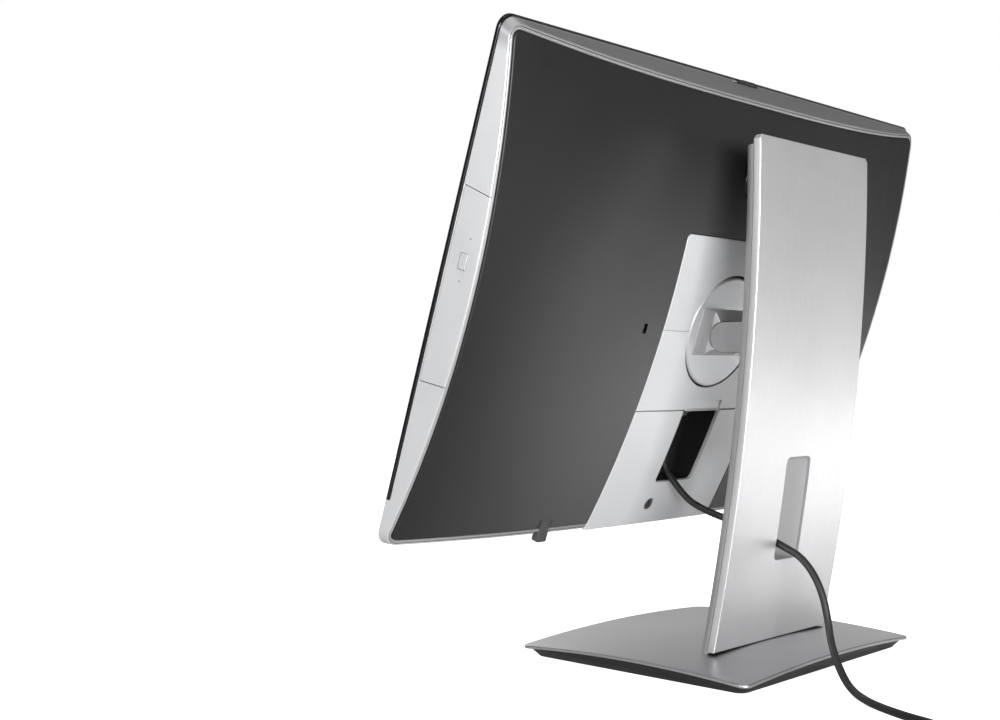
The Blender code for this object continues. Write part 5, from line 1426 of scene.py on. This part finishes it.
def column_back():
    """Brushed rear skin of the column: a bent sheet with a turned-in edge and bevelled top corners."""
    foot = float(plate_height(0.0, rear_y(COLUMN_FOOT))) + 0.0004
    shoulder = COLUMN_TOP - COLUMN_CHAMFER
    inner = COLUMN_HALF - COLUMN_CHAMFER
    half = np.array([(COLUMN_HALF, foot), (COLUMN_HALF, shoulder), (inner, COLUMN_TOP)])
    outline = filled_in(np.vstack([half, half[::-1] * [-1, 1]]), 0.005)
    made = plate("column_back", outline, lambda x, z: rear_y(z), SHELL_WALL, 0.0007, LOOKS["column"], "stand",
                 in_base, rows=30, flange=REAR_SHELL_DEPTH, slot="brushed_aluminium",
                 stands_for=["column_rear_shell"])
    return carve(made, [prism(CABLE_SLOT, (0.0, 0.15), in_base)])


def bow(x, inset):
    """How far the rounded front stands before the rear face: half an ellipse on a flat side."""
    half = COLUMN_HALF - FRONT_INSET - inset
    reach = COLUMN_THICK - FRONT_INSET - inset - SIDE_FLAT
    return SIDE_FLAT + reach * np.sqrt(np.maximum(0.0, 1 - (x / half) ** 2))


def front_block(inset, top, foot):
    """The column's front as closed sections: half-ellipses carried up the bent rear face."""
    half = COLUMN_HALF - FRONT_INSET - inset
    x = half * np.cos(np.radians(np.r_[5, 8, np.linspace(12, 168, 53), 172, 175]))
    back = -0.01 if inset else REAR_SHELL_DEPTH + GAP
    ahead = np.r_[bow(x, inset), back, back]
    x = np.r_[x, -half, half]
    return np.stack([in_base(x, rear_y(z) - ahead, z) for z in np.linspace(foot, top, 40)])


def column_front():
    """Rounded grey front of the column, hollow, with the arm's slot and the cable slot."""
    top = COLUMN_TOP - 0.0065
    made = swept("column_front", front_block(0.0, top, 0.0165), LOOKS["grey"], "stand", slot="grey_plastic",
                 stands_for=["column_front_shell"], sharp=30)
    reach = BARREL_RADIUS + 0.002
    arm_slot = rounded((-BARREL_HALF_WIDTH - 0.0015, BARREL_HALF_WIDTH + 0.0015),
                       (TILT_POINT[2] - reach - 0.045, TILT_POINT[2] + reach + 0.065), 0.004)
    return carve(made, [tool_from(front_block(SHELL_WALL, top - SHELL_WALL, 0.0)),
                        prism(CABLE_SLOT, (0.0, 0.15), in_base), prism(arm_slot, (0.0, 0.0735), in_base)])


# ---- base ----------------------------------------------------------------------------------------
BASE_HALF_X = 0.1205
BASE_HALF_Y = 0.1028
BASE_CORNER = 0.007
BASE_CROWN = 0.0190
BASE_FALL = 0.0045
PLATE_THICK = 0.0025
PAN_FOOT = 0.002


def plate_height(x, y):
    """Height of the base plate's domed top."""
    return BASE_CROWN - BASE_FALL * ((x / BASE_HALF_X) ** 2 + (y / BASE_HALF_Y) ** 2)


def base_top():
    """Domed, brushed plate with a bright rounded rim."""
    outline = rounded((-BASE_HALF_X, BASE_HALF_X), (-BASE_HALF_Y, BASE_HALF_Y), BASE_CORNER, 0.006, 12)
    plate("base_top", outline, plate_height, PLATE_THICK, 0.0008, LOOKS["plate"], "stand", upright, rows=26,
          slot="brushed_aluminium", stands_for=["base_plate"])


def base_pan():
    """Black pan under the plate: the CAD pan, with its sloping wall carried out to just inside the
    plate's edge. How far the wall stands in is a straight line of height, before and after."""
    mesh = NODES["base_pan"].data
    points = np.array([vertex.co[:] for vertex in mesh.vertices])
    half = np.array([BASE_HALF_X, BASE_HALF_Y])
    height = points[:, 2:]
    before = half - np.interp(height, (PAN_FOOT, 0.025), (0.0145, 0.003))
    after = half - np.interp(height, (PAN_FOOT, 0.0075), (0.0085, 0.0034))
    at_wall = (np.abs(points[:, :2]) / before).max(1) > 0.97
    moved = points.copy()
    moved[at_wall, :2] *= (after / before)[at_wall]
    fall = plate_height(points[:, 0], points[:, 1]) - plate_height(moved[:, 0], moved[:, 1])
    top = at_wall & (points[:, 2] > PAN_FOOT + 0.0005)
    moved[top, 2] -= fall[top]
    faces = [list(polygon.vertices) for polygon in mesh.polygons]
    return piece("base_pan_black", moved, faces, LOOKS["pan"], "stand", slot="black_plastic",
                 stands_for=["base_pan"])


def foot_shadow_line():
    """Painted shadow: a dark line where the column stands on the plate."""
    half = COLUMN_HALF - FRONT_INSET
    turn = np.radians(np.linspace(0, 180, 61))
    back = rear_y(COLUMN_FOOT) + 0.0006
    front = np.column_stack([half * np.cos(turn), back - SIDE_FLAT - (COLUMN_THICK - SIDE_FLAT) * np.sin(turn)])
    outline = filled_in(np.vstack([front, [(-half, back), (half, back)]]), 0.01)
    plate("foot_shadow_line", outline, lambda x, y: plate_height(x, y) + 0.0004, 0.0006, 0.0001, LOOKS["contact_shadow"],
          "stand", upright, rows=8, slot="black_plastic")


# ---- looks of the remaining CAD pieces -----------------------------------------------------------
KEPT_SHAPES = {
    "steel": ["tilt_pin", "guide_rail_drive_side", "guide_rail_far_side", "rail_bracket_lower",
              "rail_bracket_upper", "lift_spring", "spring_pin", "column_foot", "turntable"],
    "cast": ["chassis_plate", "heat_sink", "storage_drive", "power_supply", "optical_drive", "pivot_bearing",
             "usb_ports"],
    "black": ["fan_housing", "fan_impeller", "speaker_drive_side", "speaker_far_side", "webcam_module",
              "disc_tray", "power_inlet"],
    "board": ["main_board", "memory_module"],
    "panel_back": ["lcd_panel"],
    "bay": ["port_bay"],
    "screw": ["cover_screw"],
    "arm": ["lift_carriage"],
    "liner": ["slot_liner"],
    "rubber": ["foot_ring"],
}


def kept_shapes():
    """Materials for the pieces that keep their shape."""
    for look, nodes in KEPT_SHAPES.items():
        for node in nodes:
            mesh = NODES[node].data
            mesh.materials.clear()
            mesh.materials.append(LOOKS[look])


for make in (silver_band, shutter_bed, chin, glass, speaker_strip, camera_eye, power_key, cover_lip, back_cover,
             panel_bed, lock_slot, upper_shield, disc_well, lower_shield, release_tab, round_badge, drive_front,
             drive_details, latches, shutter, bay, mount_disc, hinge_wedge, arm, column_back, column_front,
             base_top, foot_shadow_line, base_pan, kept_shapes):
    make()


# ---- studio --------------------------------------------------------------------------------------
FLOOR_REACH = 9.0
FLOOR_GLOW = 0.97
SKY = 0.12


def floor():
    """Plain pale table: it glows white for the camera only, so the object is lit by the lamps."""
    mesh = bpy.data.meshes.new("floor")
    reach = FLOOR_REACH
    height = min(CAD_BOX[0].z, 0.0) - 0.00005
    mesh.from_pydata([(-reach, -reach, height), (reach, -reach, height), (reach, reach, height),
                      (-reach, reach, height)], [], [(0, 1, 2, 3)])
    made = bpy.data.objects.new("floor", mesh)
    material = bpy.data.materials.new("floor_white")
    material.use_nodes = True
    tree = material.node_tree
    shader = tree.nodes["Principled BSDF"]
    shader.inputs["Base Color"].default_value = (0.86, 0.86, 0.86, 1)
    shader.inputs["Roughness"].default_value = 0.9
    shader.inputs["Specular IOR Level"].default_value = 0.1
    shader.inputs["Emission Color"].default_value = (1, 1, 1, 1)
    ray = add_node(tree, "LightPath")
    seen = add_node(tree, "Math", {0: ray.outputs["Is Camera Ray"], 1: FLOOR_GLOW}, operation="MULTIPLY")
    tree.links.new(seen.outputs[0], shader.inputs["Emission Strength"])
    mesh.materials.append(material)
    bpy.context.scene.collection.objects.link(made)


def lamp(name, place, target, size, power, spread=180):
    """A rectangular softbox, unseen by the camera, aimed at a point."""
    data = bpy.data.lights.new(name, "AREA")
    data.shape = "RECTANGLE"
    data.size, data.size_y = size
    data.energy = power
    data.spread = math.radians(spread)
    made = bpy.data.objects.new(name, data)
    made.location = place
    aim = Vector(target) - Vector(place)
    made.rotation_euler = aim.to_track_quat("-Z", "Y").to_euler()
    made.visible_camera = False
    bpy.context.scene.collection.objects.link(made)


def sky():
    """White where the camera sees it, a dim grey for everything it lights."""
    world = bpy.data.worlds.new("studio")
    bpy.context.scene.world = world
    world.use_nodes = True
    tree = world.node_tree
    background = tree.nodes["Background"]
    background.inputs["Color"].default_value = (1.0, 1.0, 1.0, 1)
    ray = add_node(tree, "LightPath")
    strength = add_node(tree, "MapRange", {"Value": ray.outputs["Is Camera Ray"], "To Min": SKY, "To Max": 1.0})
    tree.links.new(strength.outputs[0], background.inputs["Strength"])


def studio():
    """Broad soft light from behind and from the drive's side, with weak light from above and in front."""
    floor()
    sky()
    lamp("back_softbox", (-1.45, 1.05, 0.22), (0.0, 0.0, 0.20), (1.1, 0.44), 0.6)
    lamp("side_softbox", (2.3, 0.2, 0.7), (0.0, 0.0, 0.25), (1.3, 1.5), 20)
    lamp("back_fill", (1.45, 2.1, 0.35), (0.0, 0.0, 0.22), (1.4, 0.6), 84)
    lamp("pool", (-1.0, 0.55, 1.5), (-0.90, 0.50, 0.0), (0.5, 0.5), 8, 60)
    lamp("far_low", (-2.1, -1.4, 0.55), (0.0, 0.0, 0.10), (1.7, 0.9), 3)
    lamp("overhead", (0.1, 0.2, 2.3), (0.0, 0.0, 0.2), (1.6, 1.6), 7)
    lamp("front_fill", (-0.8, -2.2, 1.3), (0.0, 0.0, 0.25), (1.8, 1.4), 12)
    bpy.context.scene.view_settings.view_transform = "Standard"


studio()
